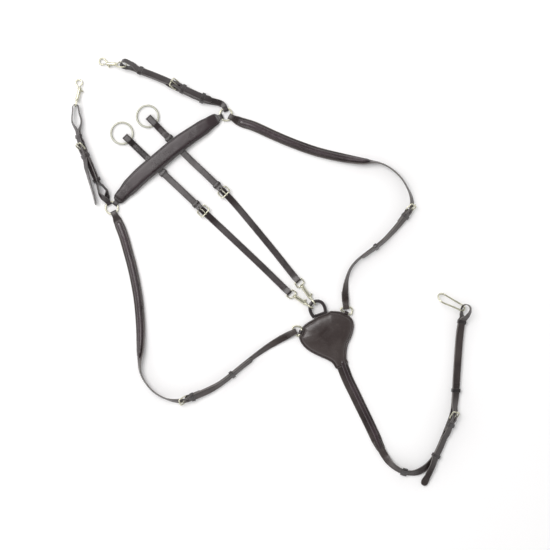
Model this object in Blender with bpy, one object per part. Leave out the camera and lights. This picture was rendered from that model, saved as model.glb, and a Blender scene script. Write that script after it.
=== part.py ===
"""Hunting breastplate with a martingale fork, laid out flat on a table.

Padded leather straps, a stitched chest plate and brass fittings, in metres with +Z up.
Every strap run follows a guide line through a few hand-chosen stops of the layout.
"""

import math
from collections import namedtuple

import bmesh
import bpy
from mathutils import Matrix, Vector

# Scale of the layout and the layout point that lies over the origin
MM = 0.001
PIXEL = 2.13
CENTRE_ACROSS = 271.45
CENTRE_DOWN = 271.8

Stop = namedtuple("Stop", "across down roll low half")
Lay = namedtuple("Lay", "s n u thick wide")
Eye = namedtuple("Eye", "length half corner slack turn leather")

# Leather and brass stock, in millimetres
STRAP = 16.0
FOLD = 13.0
LEATHER = 2.4
SKIVED = 1.3
BAND = 1.3
GAP = 0.35
RING_WIRE = 1.9
BAR = 1.4
EYE_WIRE = 1.5
TONGUE = 1.0

# Strap layers above or below the guide line, in millimetres
MAIN = -0.6
RETURN = -2.95
BILLET = 2.3
REAR_BAR = -1.3
FRONT_BAR = 5.0
BUCKLE_LENGTH = 16.0
BUCKLE_HALF = 11.3

# Rings
NECK_RING = 13.0
MARTINGALE_RING = 22.9
LOOP_ROLL = 3.6
GIRTH_LOOP_TURN = 10.5

# Snap eyes: length, half width and corner of the eye, then how far the loop's end lies beyond the
# bar, the radius of that end and its width
SHORT_EYE = Eye(12.2, FOLD / 2 + 1.0 + EYE_WIRE, 3.0, 3.6, 6.2, FOLD)
LONG_EYE = Eye(20.4, 10.0, 6.0, 13.2, 8.4, 14.0)

# Snap hook
HOOK = 6.8
HOOK_WIRE = 1.9
HOOK_DROP = 5.2
BARREL = 3.4
BOLT = 1.6
BORE = 1.95

# Colours: red, green, blue, roughness, metallic
LEATHER_BROWN = (0.045, 0.028, 0.028, 0.42, 0.0)
PADDED_BROWN = (0.060, 0.042, 0.044, 0.38, 0.0)
LINING_BROWN = (0.030, 0.022, 0.020, 0.60, 0.0)
BRASS = (0.86, 0.74, 0.46, 0.16, 1.0)

# A stop is a layout point with the strap's roll, its depth below the line and its half width


def stop(across, down, roll=0.0, low=1.5, half=8.1):
    """Return a stop of a route, in layout points, degrees and millimetres."""
    return Stop(across, down, roll, low, half)


def lay(s, n, u=0.0, thick=LEATHER, wide=STRAP):
    """Return one row of a strap: how far along, above and beside the guide it lies."""
    return Lay(s, n, u, thick, wide)


RIGHT_SIDE_ROUTE = [
    stop(231.3, 117.4, 0, 4.1),
    stop(241.2, 122.3, 0, 3.6, 10.8),
    stop(254.1, 126.5, -4, 3.0, 10.8),
    stop(271.4, 134.3, -8, 1.5, 10.8),
    stop(288.0, 141.5, -10, 1.5, 10.8),
    stop(306.0, 148.3, -12, 1.5, 10.8),
    stop(322.0, 153.3, -15, 1.5, 10.8),
    stop(344.0, 158.3, -24, 1.5, 10.8),
    stop(361.3, 161.3, -44, 1.5, 10.2),
    stop(372.5, 162.2, -68, 1.5, 8.6),
    stop(380.4, 163.6, -80),
    stop(389.9, 168.3, -80),
    stop(400.2, 177.5, -80),
    stop(406.8, 188.2, -78, 2.0, 9.4),
    stop(410.2, 196.4, -68, 4.2, 12.0),
    stop(410.9, 203.4, -58, 5.0, 13.0),
    stop(408.2, 211.0, -56, 5.0, 13.0),
    stop(402.6, 219.0, -52, 5.2, 10.2),
    stop(394.0, 229.3, -57, 5.2, 10.2),
    stop(384.0, 239.7, -66, 3.6, 10.2),
    stop(375.5, 246.7, -68, 3.6, 10.2),
    stop(366.0, 253.7, -70, 3.6, 9.8),
    stop(357.0, 260.8, -74, 2.0),
    stop(350.5, 269.0, -72, 2.0),
    stop(346.8, 279.5, -60, 2.4),
    stop(345.3, 290.0, -30, 4.0),
    stop(345.2, 299.0, -6, 5.6),
    stop(346.0, 307.5, 0, 5.6),
]
LEFT_SIDE_ROUTE = [
    stop(114.4, 213.6, 0, 4.1),
    stop(118.2, 221.5, 0, 3.6, 10.8),
    stop(123.7, 235.7, 4, 3.0, 10.8),
    stop(128.2, 251.5, 8, 1.5, 10.8),
    stop(132.5, 267.5, 10, 1.5, 10.8),
    stop(136.0, 284.0, 12, 1.5, 10.8),
    stop(138.6, 300.0, 14, 1.5, 10.8),
    stop(140.3, 318.0, 17, 1.5, 10.8),
    stop(141.0, 335.0, 24, 1.5, 10.8),
    stop(140.6, 350.0, 41, 1.5, 10.2),
    stop(139.9, 360.5, 61, 1.5, 9.2),
    stop(140.2, 370.0, 76),
    stop(144.0, 379.5, 80),
    stop(151.3, 388.9, 80),
    stop(159.0, 394.8, 80),
    stop(166.7, 398.3, 78, 2.0, 9.4),
    stop(173.6, 399.9, 66, 4.2, 12.0),
    stop(179.6, 399.8, 56, 5.0, 13.0),
    stop(187.5, 398.2, 54, 5.0, 13.0),
    stop(197.0, 394.8, 38, 5.2, 10.2),
    stop(208.0, 390.0, 38, 5.2, 10.2),
    stop(220.0, 383.2, 54, 3.6, 10.2),
    stop(232.0, 374.0, 58, 3.6, 10.2),
    stop(243.0, 365.0, 58, 3.6, 9.8),
    stop(254.0, 356.6, 52, 2.0),
    stop(267.0, 347.4, 34, 2.4),
    stop(278.0, 340.6, 12, 4.0),
    stop(287.0, 335.6, 0, 5.6),
    stop(294.8, 331.6, 0, 5.6),
]
WITHER_ROUTE = [
    stop(115.9, 203.3, 0, 4.1),
    stop(122.5, 195.2, 0, 6.0),
    stop(139.5, 177.8, 0, 9.8),
    stop(157.3, 162.6, 0, 11.2),
    stop(180.3, 143.7, 0, 11.2),
    stop(204.6, 127.0, 0, 9.6),
    stop(214.4, 120.3, 0, 6.4),
    stop(220.7, 117.1, 0, 4.1),
]
RIGHT_SADDLE_ROUTE = [
    stop(225.0, 108.5, 0, 4.1),
    stop(223.4, 105.4, 0, 4.9),
    stop(219.0, 103.0, 6, 6.0),
    stop(211.5, 101.2, 20, 7.3, 9.8),
    stop(203.0, 98.6, 28, 7.3, 10.2),
    stop(193.5, 94.6, 30, 7.3, 10.2),
    stop(184.0, 90.0, 32, 7.3, 12.0),
    stop(178.0, 87.0, 34, 7.3, 13.0),
    stop(171.0, 83.6, 34, 7.3, 13.0),
    stop(163.0, 80.0, 30, 6.4, 11.0),
    stop(152.5, 75.6, 29, 4.3, 10.2),
    stop(145.0, 72.8, 31, 4.5, 10.2),
    stop(138.0, 70.2, 38, 8.4, 10.2),
    stop(132.4, 67.2, 46, 13.2, 9.0),
    stop(127.2, 65.4, 48, 13.2, 9.0),
]
LEFT_SADDLE_ROUTE = [
    stop(108.7, 202.8, 0, 4.1),
    stop(107.6, 201.1, -5, 5.2),
    stop(105.2, 197.4, -34, 9.6),
    stop(102.4, 192.8, -68, 12.1),
    stop(99.4, 186.6, -72, 11.5, 10.2),
    stop(96.0, 179.2, -59, 8.5, 10.2),
    stop(91.0, 167.4, -52, 7.3, 10.2),
    stop(87.4, 159.2, -54, 7.3, 12.0),
    stop(83.9, 151.4, -56, 7.3, 13.0),
    stop(81.4, 144.4, -56, 6.4, 13.0),
    stop(79.6, 136.8, -56, 4.6, 10.8),
    stop(78.4, 129.0, -64, 4.3, 10.2),
    stop(76.8, 118.0, -74, 4.3, 10.4),
    stop(75.9, 106.5, -76, 4.3, 10.4),
]
LEFT_SADDLE_TIP_ROUTE = [
    stop(87.3, 159.8, 54, 7.3, 10.2),
    stop(88.4, 168.0, 60, 6.0, 9.4),
    stop(90.0, 176.0, 68, 4.0, 8.4),
    stop(92.4, 186.0, 75, 2.6),
    stop(94.9, 196.0, 76, 2.6),
    stop(96.9, 205.0, 76, 2.6),
]
LEFT_FORK_ROUTE = [
    stop(129.8, 140.9, 0, 6.5),
    stop(138.0, 148.9, 0, 5.2),
    stop(150.0, 160.4, 0, 3.6),
    stop(170.0, 179.5, 0, 3.6),
    stop(186.0, 194.6, 0, 5.1),
    stop(204.6, 212.2, 0, 5.1),
    stop(216.0, 223.0, 0, 1.6),
    stop(235.0, 240.8, 0, 1.6),
    stop(262.0, 266.4, 0, 1.6),
    stop(280.0, 283.9, 0, 3.0),
    stop(289.0, 292.6, 0, 4.2),
]
RIGHT_FORK_ROUTE = [
    stop(155.2, 124.2, 0, 6.5),
    stop(162.8, 132.0, 0, 5.2),
    stop(175.0, 144.3, 0, 3.6),
    stop(192.0, 161.4, 0, 3.6),
    stop(208.0, 176.5, 0, 5.1),
    stop(225.0, 193.3, 0, 5.1),
    stop(235.5, 204.6, 0, 1.6),
    stop(252.0, 224.2, 0, 1.6),
    stop(275.0, 252.2, 0, 1.6),
    stop(291.0, 272.4, 0, 3.0),
    stop(297.8, 280.6, 0, 4.2),
]
GIRTH_ROUTE = [
    stop(342.5, 366.0, 0, 1.3, 12),
    stop(347.8, 379.6, 0, 1.3, 12),
    stop(353.7, 391.8, 0, 1.3, 12),
    stop(360.2, 405.3, 0, 1.3, 12),
    stop(366.6, 418.4, 0, 1.3, 12),
    stop(372.8, 431.5, 0, 1.3, 11),
    stop(379.6, 446.0, 0, 1.3, 11),
    stop(385.8, 457.0, 12, 1.9, 9),
    stop(391.2, 463.8, 38, 3.2, 9.8),
    stop(397.8, 468.8, 46, 3.2, 10.0),
    stop(404.6, 471.6, 46, 3.2, 10.0),
    stop(411.6, 472.4, 42, 3.2, 9.8),
    stop(419.5, 470.8, 24, 2.2),
    stop(427.0, 465.6, 26, 3.2, 10.2),
    stop(433.0, 458.6, 32, 3.2, 10.2),
    stop(438.0, 449.4, 34, 3.2, 10.2),
    stop(443.0, 437.6, 36, 3.2, 10.2),
    stop(447.2, 426.2, 42, 3.2, 11.0),
    stop(450.4, 417.0, 46, 3.2, 13.0),
    stop(452.6, 408.6, 44, 3.2, 13.0),
    stop(454.4, 398.0, 28, 3.2, 10.2),
    stop(455.4, 387.0, 16, 3.2, 10.2),
    stop(456.5, 370.0, 12, 3.2, 10.2),
    stop(458.2, 346.0, 12, 3.2, 10.2),
    stop(459.6, 331.0, 15, 3.2, 10.2),
    stop(461.0, 321.8, 22, 4.2, 10.2),
    stop(461.8, 319.0, 26, 6.4, 10.2),
    stop(463.2, 315.6, 42, 10.4, 9.6),
    stop(464.9, 310.8, 58, 14.2, 9.0),
    stop(466.0, 304.4, 60, 14.2, 9.0),
]

GIRTH_TIP_ROUTE = [
    stop(434.4, 456.6, -32, 3.2, 10.2),
    stop(430.8, 465.4, -28, 3.2, 10.2),
    stop(427.2, 475.0, -10, 2.0),
    stop(423.0, 485.2, 0, 1.5),
]

# Layout points of fittings on the straps
RIGHT_CHEST_BUCKLE = (409.2, 207.6)
RIGHT_CHEST_KEEPER = (375.5, 246.7)
RIGHT_BILLET_TIP = (361.5, 257.6)
LEFT_CHEST_BUCKLE = (183.5, 398.8)
LEFT_CHEST_KEEPER = (232.0, 374.0)
LEFT_BILLET_TIP = (251.5, 358.2)
RIGHT_SADDLE_BUCKLE = (174.5, 85.0)
RIGHT_SADDLE_KEEPER = (203.0, 99.6)
RIGHT_SADDLE_TIP = (211.5, 103.4)
RIGHT_SADDLE_TIE = (141.0, 71.2)
LEFT_SADDLE_BUCKLE = (82.4, 147.6)
LEFT_SADDLE_KEEPER = (96.4, 180.5)
LEFT_SADDLE_TIP = (103.0, 194.4)
LEFT_SADDLE_TIE = (79.7, 136.9)
LEFT_FORK_BUCKLE = (203.6, 211.2)
LEFT_FORK_KEEPER = (163.4, 173.2)
LEFT_FORK_TIP = (146.0, 156.6)
RIGHT_FORK_BUCKLE = (224.0, 192.3)
RIGHT_FORK_KEEPER = (169.5, 138.6)
RIGHT_FORK_TIP = (163.5, 132.6)
GIRTH_BUCKLE = (451.0, 414.5)
GIRTH_TAIL_KEEPER = (404.0, 472.0)
GIRTH_TIP_KEEPER = (435.2, 455.2)
GIRTH_TIP = (423.0, 484.0)
GIRTH_LOWER_BAND = (455.0, 390.0)
GIRTH_UPPER_BAND = (461.0, 321.8)
LEFT_NECK_RING = (112.0, 208.0)
RIGHT_NECK_RING = (226.0, 114.6)
LEFT_HOOK = (79.3, 83.2)
RIGHT_HOOK = (102.6, 61.8)
LEFT_FORK_CATCH = (309.9, 306.4)
RIGHT_FORK_CATCH = (313.4, 301.9)

PLATE_OUTLINE = [
    (313.5, 319.0), (320.0, 314.6), (327.0, 311.4), (333.0, 310.9), (341.0, 311.8), (347.5, 314.8),
    (352.2, 319.2), (353.8, 325.0), (353.0, 331.5), (350.8, 338.2), (348.2, 343.6), (346.7, 350.2),
    (346.4, 357.9), (347.5, 363.4), (337.2, 368.8), (333.0, 363.8), (328.8, 360.6), (321.0, 357.0),
    (313.4, 353.4), (306.4, 348.9), (301.4, 343.4), (299.1, 337.6), (299.6, 332.2), (303.0, 326.2),
    (308.0, 322.2),
]
PLATE_LOOP_ROUTE = [
    (312.9, 316.2, 4.4), (310.5, 311.6, 7.2), (309.9, 306.8, 9.0), (311.6, 303.0, 8.9),
    (315.4, 301.2, 8.9), (319.8, 301.4, 8.9), (323.2, 304.2, 8.0), (324.9, 308.4, 6.2),
    (325.4, 312.0, 4.4),
]
# The two squared rings between the chest straps and the plate; each starts with its strap's bar
RIGHT_PLATE_RING = [
    (341.8, 308.0), (346.0, 307.6), (350.0, 307.3), (351.9, 309.2), (352.0, 312.0), (350.8, 314.2),
    (348.4, 314.0), (344.6, 312.0), (341.6, 310.6), (340.8, 309.0),
]
LEFT_PLATE_RING = [
    (292.8, 328.0), (294.8, 331.6), (296.7, 335.2), (298.4, 335.6), (299.6, 334.2), (300.9, 331.0),
    (301.7, 328.6), (300.6, 326.9), (297.4, 326.2), (293.8, 326.4),
]
RIGHT_RING_TAB = ((346.2, 312.8), (344.5, 316.2))
LEFT_RING_TAB = ((300.4, 332.0), (304.6, 333.6))
# The girth clip in its own frame, in millimetres: from its gate's nose, round the big end, along
# the spine, through the strap's loop at X 0 and on to the gate's pivot
CLIP_BODY = [
    (52.7, -14.0), (58.0, -11.2), (61.4, -6.0), (62.6, 0.0), (61.4, 6.0), (58.0, 11.2), (52.3, 14.1),
    (45.0, 14.3), (31.0, 12.1), (14.0, 10.1), (6.6, 9.3), (2.0, 6.8), (0.2, 2.2), (0.2, -2.2),
    (2.0, -6.8), (5.4, -9.1), (9.5, -9.7),
]
CLIP_GATE = [(12.3, -9.9), (31.0, -11.8), (50.2, -13.8)]
CLIP_WIRE = 2.0
CLIP_AIM = (437.2, 295.4)
CLIP_AIM_HEIGHT = 13.6
CLIP_TILT = 52.0
CLIP_OFF_CENTRE = 3.4
CLIP_HEIGHT = 9.4


def place(across, down, height=0.0):
    """Turn a layout point and a height in millimetres into a point in metres."""
    scale = PIXEL * MM
    return Vector(((across - CENTRE_ACROSS) * scale, (CENTRE_DOWN - down) * scale, height * MM))


def smooth(rows, steps):
    """Return the rows of numbers with a Catmull-Rom curve drawn through them."""
    drawn = []
    last = len(rows) - 1
    for index in range(last):
        before = rows[max(index - 1, 0)]
        first, second = rows[index], rows[index + 1]
        after = rows[min(index + 2, last)]
        for step in range(steps):
            f = step / steps
            drawn.append([
                0.5 * (2 * b + (c - a) * f + (2 * a - 5 * b + 4 * c - d) * f ** 2
                       + (3 * b - a - 3 * c + d) * f ** 3)
                for a, b, c, d in zip(before, first, second, after)
            ])
    drawn.append(list(rows[last]))
    return drawn


class Guide:
    """A strap run's centre line on the table, with its roll and its height at every distance."""

    def __init__(self, route):
        rows = [(*place(s.across, s.down).xy, math.radians(s.roll), s.low, s.half) for s in route]
        self.rows = smooth(rows, 12)
        self.lengths = [0.0]
        for first, second in zip(self.rows, self.rows[1:]):
            step = math.dist(first[:2], second[:2]) / MM
            self.lengths.append(self.lengths[-1] + step)
        self.length = self.lengths[-1]

    def near(self, point):
        """Return the distance along the guide of the spot nearest to a layout point."""
        target = place(*point).xy
        gaps = [math.dist(row[:2], target) for row in self.rows]
        return self.lengths[gaps.index(min(gaps))]

    def frame(self, s):
        """Return the place, heading, side and face of the strap at a distance."""
        last = len(self.lengths) - 2
        index = next((i for i in range(last) if self.lengths[i + 1] >= s), last)
        span = self.lengths[index + 1] - self.lengths[index]
        f = (s - self.lengths[index]) / span
        held = min(max(f, 0.0), 1.0)
        first, second = self.rows[index], self.rows[index + 1]
        roll, low, half = (a + (b - a) * held for a, b in zip(first[2:], second[2:]))
        spot = Vector([a + (b - a) * f for a, b in zip(first[:2], second[:2])] + [0.0])
        before = self.rows[max(index - 3, 0)]
        after = self.rows[min(index + 4, len(self.rows) - 1)]
        ahead = Vector((after[0] - before[0], after[1] - before[1], 0.0)).normalized()
        left = Vector((-ahead.y, ahead.x, 0.0))
        up = Vector((0.0, 0.0, 1.0))
        side = left * math.cos(roll) + up * math.sin(roll)
        face = up * math.cos(roll) - left * math.sin(roll)
        spot.z = (low * abs(math.cos(roll)) + half * abs(math.sin(roll)) + 0.1) * MM
        return spot, ahead, side, face

    def at(self, s, n=0.0, u=0.0):
        """Return the point at a distance along, above and beside the guide line."""
        spot, _, side, face = self.frame(s)
        return spot + face * (n * MM) + side * (u * MM)

    def matrix(self, s, n=0.0, u=0.0):
        """Return the frame at a distance as a matrix: X ahead, Y to the side, Z out of the face."""
        _, ahead, side, face = self.frame(s)
        turned = Matrix((ahead, side, face)).transposed().to_4x4()
        return Matrix.Translation(self.at(s, n, u)) @ turned


def fold(s, n, radius, towards, thick=SKIVED, wide=FOLD, from_top=True, steps=6):
    """Return the rows of a half turn round a bar, with its apex towards +s or -s."""
    start = 90.0 if from_top else -90.0
    rows = []
    for step in range(steps + 1):
        angle = math.radians(start - math.copysign(180.0 * step / steps, start))
        along = s + towards * radius * math.cos(angle)
        rows.append(lay(along, n + radius * math.sin(angle), 0.0, thick, wide))
    return rows


def ring_fold(end, away, middle=0.0, sag=2.2, wide=FOLD, from_top=False):
    """Return the rows of a strap end round a ring's wire, from the far layer to the near one."""
    radius = RING_WIRE + 0.45 + SKIVED / 2
    first, last = (radius, -radius) if from_top else (-radius, radius)
    clear = end + away * 3.4
    rows = [lay(clear, middle + first, 0, SKIVED, wide)]
    rows += fold(end - away * sag, middle, radius, -away, wide=wide, from_top=from_top)
    rows.append(lay(clear, middle + last, 0, SKIVED, wide))
    return rows


def finish(name, mesh_builder, colour):
    """Turn a finished bmesh into an object with its own material."""
    bmesh.ops.recalc_face_normals(mesh_builder, faces=mesh_builder.faces)
    mesh = bpy.data.meshes.new(name)
    mesh_builder.to_mesh(mesh)
    mesh_builder.free()
    return dress(name, mesh, colour)


def dress(name, mesh, colour):
    """Link a mesh as an object and give it a Principled material."""
    thing = bpy.data.objects.new(name, mesh)
    bpy.context.scene.collection.objects.link(thing)
    material = bpy.data.materials.new(name)
    material.use_nodes = True
    shader = material.node_tree.nodes["Principled BSDF"]
    shader.inputs["Base Color"].default_value = (*colour[:3], 1.0)
    shader.inputs["Roughness"].default_value = colour[3]
    shader.inputs["Metallic"].default_value = colour[4]
    mesh.materials.append(material)
    mesh.shade_smooth()
    mesh.set_sharp_from_angle(angle=math.radians(35.0))
    return thing


def loft(builder, rings, closed=False):
    """Join rings of points into a skin, capped at both ends unless it closes on itself."""
    loops = [[builder.verts.new(point) for point in ring] for ring in rings]
    pairs = list(zip(loops, loops[1:]))
    if closed:
        pairs.append((loops[-1], loops[0]))
    for first, second in pairs:
        for index in range(len(first)):
            following = (index + 1) % len(first)
            builder.faces.new((first[index], first[following], second[following], second[index]))
    if not closed:
        builder.faces.new(reversed(loops[0]))
        builder.faces.new(loops[-1])


def ribbon(builder, rings, distances, outline):
    """Join a strap's rings with triangles that lean one way, so that stacked straps match."""
    loops = [[builder.verts.new(point) for point in ring] for ring in rings]
    count = len(outline)
    for ring in range(len(loops) - 1):
        first, second = loops[ring], loops[ring + 1]
        forward = distances[ring + 1] >= distances[ring]
        for index in range(count):
            following = (index + 1) % count
            a, b, c, d = first[index], first[following], second[following], second[index]
            rightward = outline[following][0] >= outline[index][0]
            if rightward == forward:
                builder.faces.new((a, b, c))
                builder.faces.new((a, c, d))
            else:
                builder.faces.new((a, b, d))
                builder.faces.new((b, c, d))
    builder.faces.new(reversed(loops[0]))
    builder.faces.new(loops[-1])


def section(wide, thick, edge):
    """Return a strap's cross-section, with its sides drawn in above and below by the edge."""
    w, t = wide / 2, thick / 2
    if edge <= 0:
        return [(-w, -t), (w, -t), (w, t), (-w, t)]
    e = min(edge, 0.45 * thick)
    return [(e - w, -t), (w - e, -t), (w, 0.0), (w - e, t), (e - w, t), (-w, 0.0)]


def spread(rows, spacing):
    """Add rows at even distances along the guide, the same for every strap on it."""
    filled = []
    for first, second in zip(rows, rows[1:]):
        filled.append(list(first))
        low, high = sorted((first.s, second.s))
        if high - low < spacing:
            continue
        marks = range(math.ceil((low + 0.3 * spacing) / spacing),
                      math.floor((high - 0.3 * spacing) / spacing) + 1)
        between = [mark * spacing for mark in marks]
        if second.s < first.s:
            between.reverse()
        for s in between:
            f = (s - first.s) / (second.s - first.s)
            eased = f * f * (3 - 2 * f)
            filled.append([s] + [a + (b - a) * eased for a, b in zip(first[1:], second[1:])])
    filled.append(list(rows[-1]))
    return filled


def strap(name, guide, rows, colour=LEATHER_BROWN, spacing=9.0, edge=0.0, tail=None):
    """Make a leather strap along its rows; a tail leaves its guide for another one."""
    run = [(guide, row) for row in spread(rows, spacing)]
    if tail:
        run += [(tail[0], row) for row in spread(tail[1], spacing)]
    spots = [line.at(row[0], row[1], row[2]) for line, row in run]
    rings = []
    for index, (line, row) in enumerate(run):
        ahead = spots[min(index + 1, len(spots) - 1)] - spots[max(index - 1, 0)]
        side = line.frame(row[0])[2]
        if line is not guide:
            side = -side
        face = ahead.cross(side).normalized()
        side = face.cross(ahead).normalized()
        rings.append([spots[index] + side * (a * MM) + face * (b * MM)
                      for a, b in section(row[4], row[3], edge)])
    builder = bmesh.new()
    distances = [row[0] if line is guide else -row[0] for line, row in run]
    ribbon(builder, rings, distances, section(STRAP, LEATHER, edge))
    return finish(name, builder, colour)


def closed_curve(corners, steps):
    """Return a closed smooth curve through points."""
    rows = [list(point) for point in corners]
    drawn = smooth(rows[-1:] + rows + rows[:2], steps)
    return [Vector(row) for row in drawn[steps:-steps - 1]]


def circle_points(radius, sides):
    """Return points evenly round a circle in the XY plane."""
    return [(radius * math.cos(math.tau * k / sides), radius * math.sin(math.tau * k / sides))
            for k in range(sides)]


def wire_rings(points, radii, plane, sides, closed):
    """Return the cross-sections of a round wire that lies in a plane with the given normal."""
    rings = []
    count = len(points)
    for index, point in enumerate(points):
        if closed:
            ahead = points[(index + 1) % count] - points[index - 1]
        else:
            ahead = points[min(index + 1, count - 1)] - points[max(index - 1, 0)]
        side = plane.cross(ahead).normalized()
        over = ahead.cross(side).normalized()
        rings.append([point + side * (a * MM) + over * (b * MM)
                      for a, b in circle_points(radii[index], sides)])
    return rings


def wire(builder, points, radius, plane, sides=8, closed=False):
    """Add a round wire through points in metres; the radius is in millimetres, or one for each."""
    radii = radius if isinstance(radius, list) else [radius] * len(points)
    loft(builder, wire_rings(points, radii, plane, sides, closed), closed)


def rounded_frame(length, half, corner, steps=2):
    """Return points round a rectangle with round corners, from X 0 to the length."""
    corners = [(corner, -half + corner, 180), (length - corner, -half + corner, 270),
               (length - corner, half - corner, 0), (corner, half - corner, 90)]
    points = []
    for x, y, start in corners:
        for step in range(steps + 1):
            angle = math.radians(start + 90 * step / steps)
            points.append((x + corner * math.cos(angle), y + corner * math.sin(angle)))
    return points


def box(name, matrix, low, high):
    """Make a hidden cutting box between two corners, in millimetres of the matrix's frame."""
    builder = bmesh.new()
    bmesh.ops.create_cube(builder, size=1.0)
    size = [b - a for a, b in zip(low, high)]
    middle = Vector([(a + b) / 2 for a, b in zip(low, high)]) * MM
    bmesh.ops.scale(builder, vec=[a * MM for a in size], verts=builder.verts)
    bmesh.ops.translate(builder, vec=middle, verts=builder.verts)
    bmesh.ops.transform(builder, matrix=matrix, verts=builder.verts)
    cutter = finish(name, builder, LINING_BROWN)
    return hide(cutter)


def pivot(thing, point):
    """Move a piece's origin to a point of its joint's axis, leaving the piece where it is."""
    thing.data.transform(Matrix.Translation(-point))
    thing.location = point
    return thing


def hide(tool):
    """Mark an object as a cutter or a joined-in shape that isn't a piece of its own."""
    tool.hide_render = True
    tool.display_type = "WIRE"
    return tool


def combine(thing, tool, operation):
    """Cut a hidden shape from a piece, or join it on."""
    modifier = thing.modifiers.new(operation.lower(), "BOOLEAN")
    modifier.operation = operation
    modifier.object = tool
    modifier.solver = "EXACT"


def keeper(builder, guide, s, low, high, half=STRAP / 2, slack=GAP, wide=7.0):
    """Add a leather keeper round the layers between two heights of the guide's frame."""
    low, high, half = low - GAP, high + GAP, half + slack
    inner = [(-half, low), (half, low), (half, high), (-half, high)]
    outer = [(-half - BAND, low - BAND), (half + BAND, low - BAND),
             (half + BAND, high + BAND), (-half - BAND, high + BAND)]
    walls = []
    for outline in (outer, inner):
        walls.append([[builder.verts.new(guide.at(s + wide * f, n, u)) for u, n in outline]
                      for f in (-0.5, 0.0, 0.5)])
    for turned, wall in enumerate(walls):
        for first, second in zip(wall, wall[1:]):
            for index in range(4):
                following = (index + 1) % 4
                corners = [first[index], first[following], second[following], second[index]]
                builder.faces.new(reversed(corners) if turned else corners)
    for end in (0, -1):
        for index in range(4):
            following = (index + 1) % 4
            builder.faces.new((walls[0][end][index], walls[1][end][index],
                               walls[1][end][following], walls[0][end][following]))


def slide_keeper(name, guide, s, low, high, half=STRAP / 2):
    """Make a loose keeper that can slide along the layers."""
    builder = bmesh.new()
    keeper(builder, guide, s, low, high, half, 0.7)
    return pivot(finish(name, builder, LEATHER_BROWN), guide.at(s))


def sewn_keeper(name, thing, guide, s, low, high, half=STRAP / 2):
    """Join a keeper to the strap that it is sewn to: its lower band starts inside that strap."""
    builder = bmesh.new()
    keeper(builder, guide, s, low, high, half)
    combine(thing, hide(finish(name, builder, LEATHER_BROWN)), "UNION")


class Buckle:
    """A brass buckle on a strap run, with its rear bar in the fold and its tongue through it."""

    def __init__(self, guide, point, towards, rear=REAR_BAR, front=FRONT_BAR):
        self.guide = guide
        self.towards = towards
        self.rear_s = guide.near(point) - towards * BUCKLE_LENGTH / 2
        self.front_s = self.rear_s + towards * BUCKLE_LENGTH
        self.rear = rear
        self.front = front

    def chape(self, main, under, from_end, wide=STRAP, return_length=32.0):
        """Return the rows of a strap end folded round the rear bar, from the fold-back's end."""
        away = -self.towards
        radius = BAR + 0.4 + SKIVED / 2
        back = self.rear_s + away * return_length
        near = self.rear_s + away * 9.0
        rows = [lay(back, under, 0, SKIVED, wide - 1.0), lay(near, under, 0, SKIVED, wide)]
        rows += fold(self.rear_s, self.rear, radius, self.towards, wide=wide, from_top=False)
        rows.append(lay(near, main, 0, LEATHER, wide))
        return rows if from_end else rows[::-1]

    def slots(self, name, thing, chape=True, billet=True):
        """Cut the tongue's slot through the fold, and its hole through the billet."""
        frame = self.guide.matrix(self.rear_s, self.rear)
        sign = self.towards
        if chape:
            reach = sorted((-4.4 * sign, 3.9 * sign))
            cutter = box(name + "_chape_slot", frame, (reach[0], -1.5, -3.9), (reach[1], 1.5, 3.5))
            combine(thing, cutter, "DIFFERENCE")
        if billet:
            reach = sorted((-4.8 * sign, 12.2 * sign))
            cutter = box(name + "_billet_hole", frame, (reach[0], -1.5, 2.3), (reach[1], 1.5, 8.6))
            combine(thing, cutter, "DIFFERENCE")

    def frame_wire(self, builder):
        """Add the buckle's frame as one closed wire."""
        points = []
        for x, u in rounded_frame(BUCKLE_LENGTH, BUCKLE_HALF, 3.2):
            rise = (self.front - self.rear) * x / BUCKLE_LENGTH
            points.append(self.point(x, rise, u))
        normal = self.guide.matrix(self.rear_s).to_3x3() @ Vector(
            (-(self.front - self.rear) * self.towards, 0.0, BUCKLE_LENGTH))
        wire(builder, points, BAR, normal.normalized(), 6, closed=True)

    def point(self, x, rise, u=0.0):
        """Return a point by its distance from the rear bar, in the rear bar's own frame."""
        frame = self.guide.matrix(self.rear_s, self.rear)
        return frame @ (Vector((x * self.towards, u, rise)) * MM)

    def tongue(self, name):
        """Make the tongue: a curl round the rear bar and a pin that rests on the front bar."""
        curl = BAR + 0.25 + TONGUE
        path = []
        for angle in (-60, -100, -140, -180, -220, -255):
            turn = math.radians(angle)
            path.append((curl * math.cos(turn), curl * math.sin(turn), TONGUE))
        rise = self.front - self.rear
        path.append((BUCKLE_LENGTH * 0.5, curl + (rise - 0.9) * 0.5, TONGUE))
        path.append((BUCKLE_LENGTH, rise + BAR + 0.25 + TONGUE * 0.8, TONGUE * 0.8))
        path.append((BUCKLE_LENGTH + 2.6, rise + BAR + 0.5, TONGUE * 0.6))
        builder = bmesh.new()
        side = self.guide.frame(self.rear_s)[2]
        wire(builder, [self.point(x, y) for x, y, _ in path], [r for _, _, r in path], side, 6)
        return pivot(finish(name, builder, BRASS), self.point(0.0, 0.0))


def buckle_frame(name, buckle):
    """Make a buckle's frame."""
    builder = bmesh.new()
    buckle.frame_wire(builder)
    return finish(name, builder, BRASS)


def ring(name, centre, radius, thick, sides=20):
    """Make a brass ring that lies flat."""
    builder = bmesh.new()
    points = [centre + Vector((x, y, 0.0)) * MM for x, y in circle_points(radius, sides)]
    wire(builder, points, thick, Vector((0.0, 0.0, 1.0)), 6, closed=True)
    return finish(name, builder, BRASS)


def cylinder(name, matrix, start, end, radius, sides=12):
    """Make a plain round bar along X, in millimetres of the matrix's frame."""
    builder = bmesh.new()
    rings = [[matrix @ (Vector((x, a, b)) * MM) for a, b in circle_points(radius, sides)]
             for x in (start, end)]
    loft(builder, rings)
    return finish(name, builder, BRASS)


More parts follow.
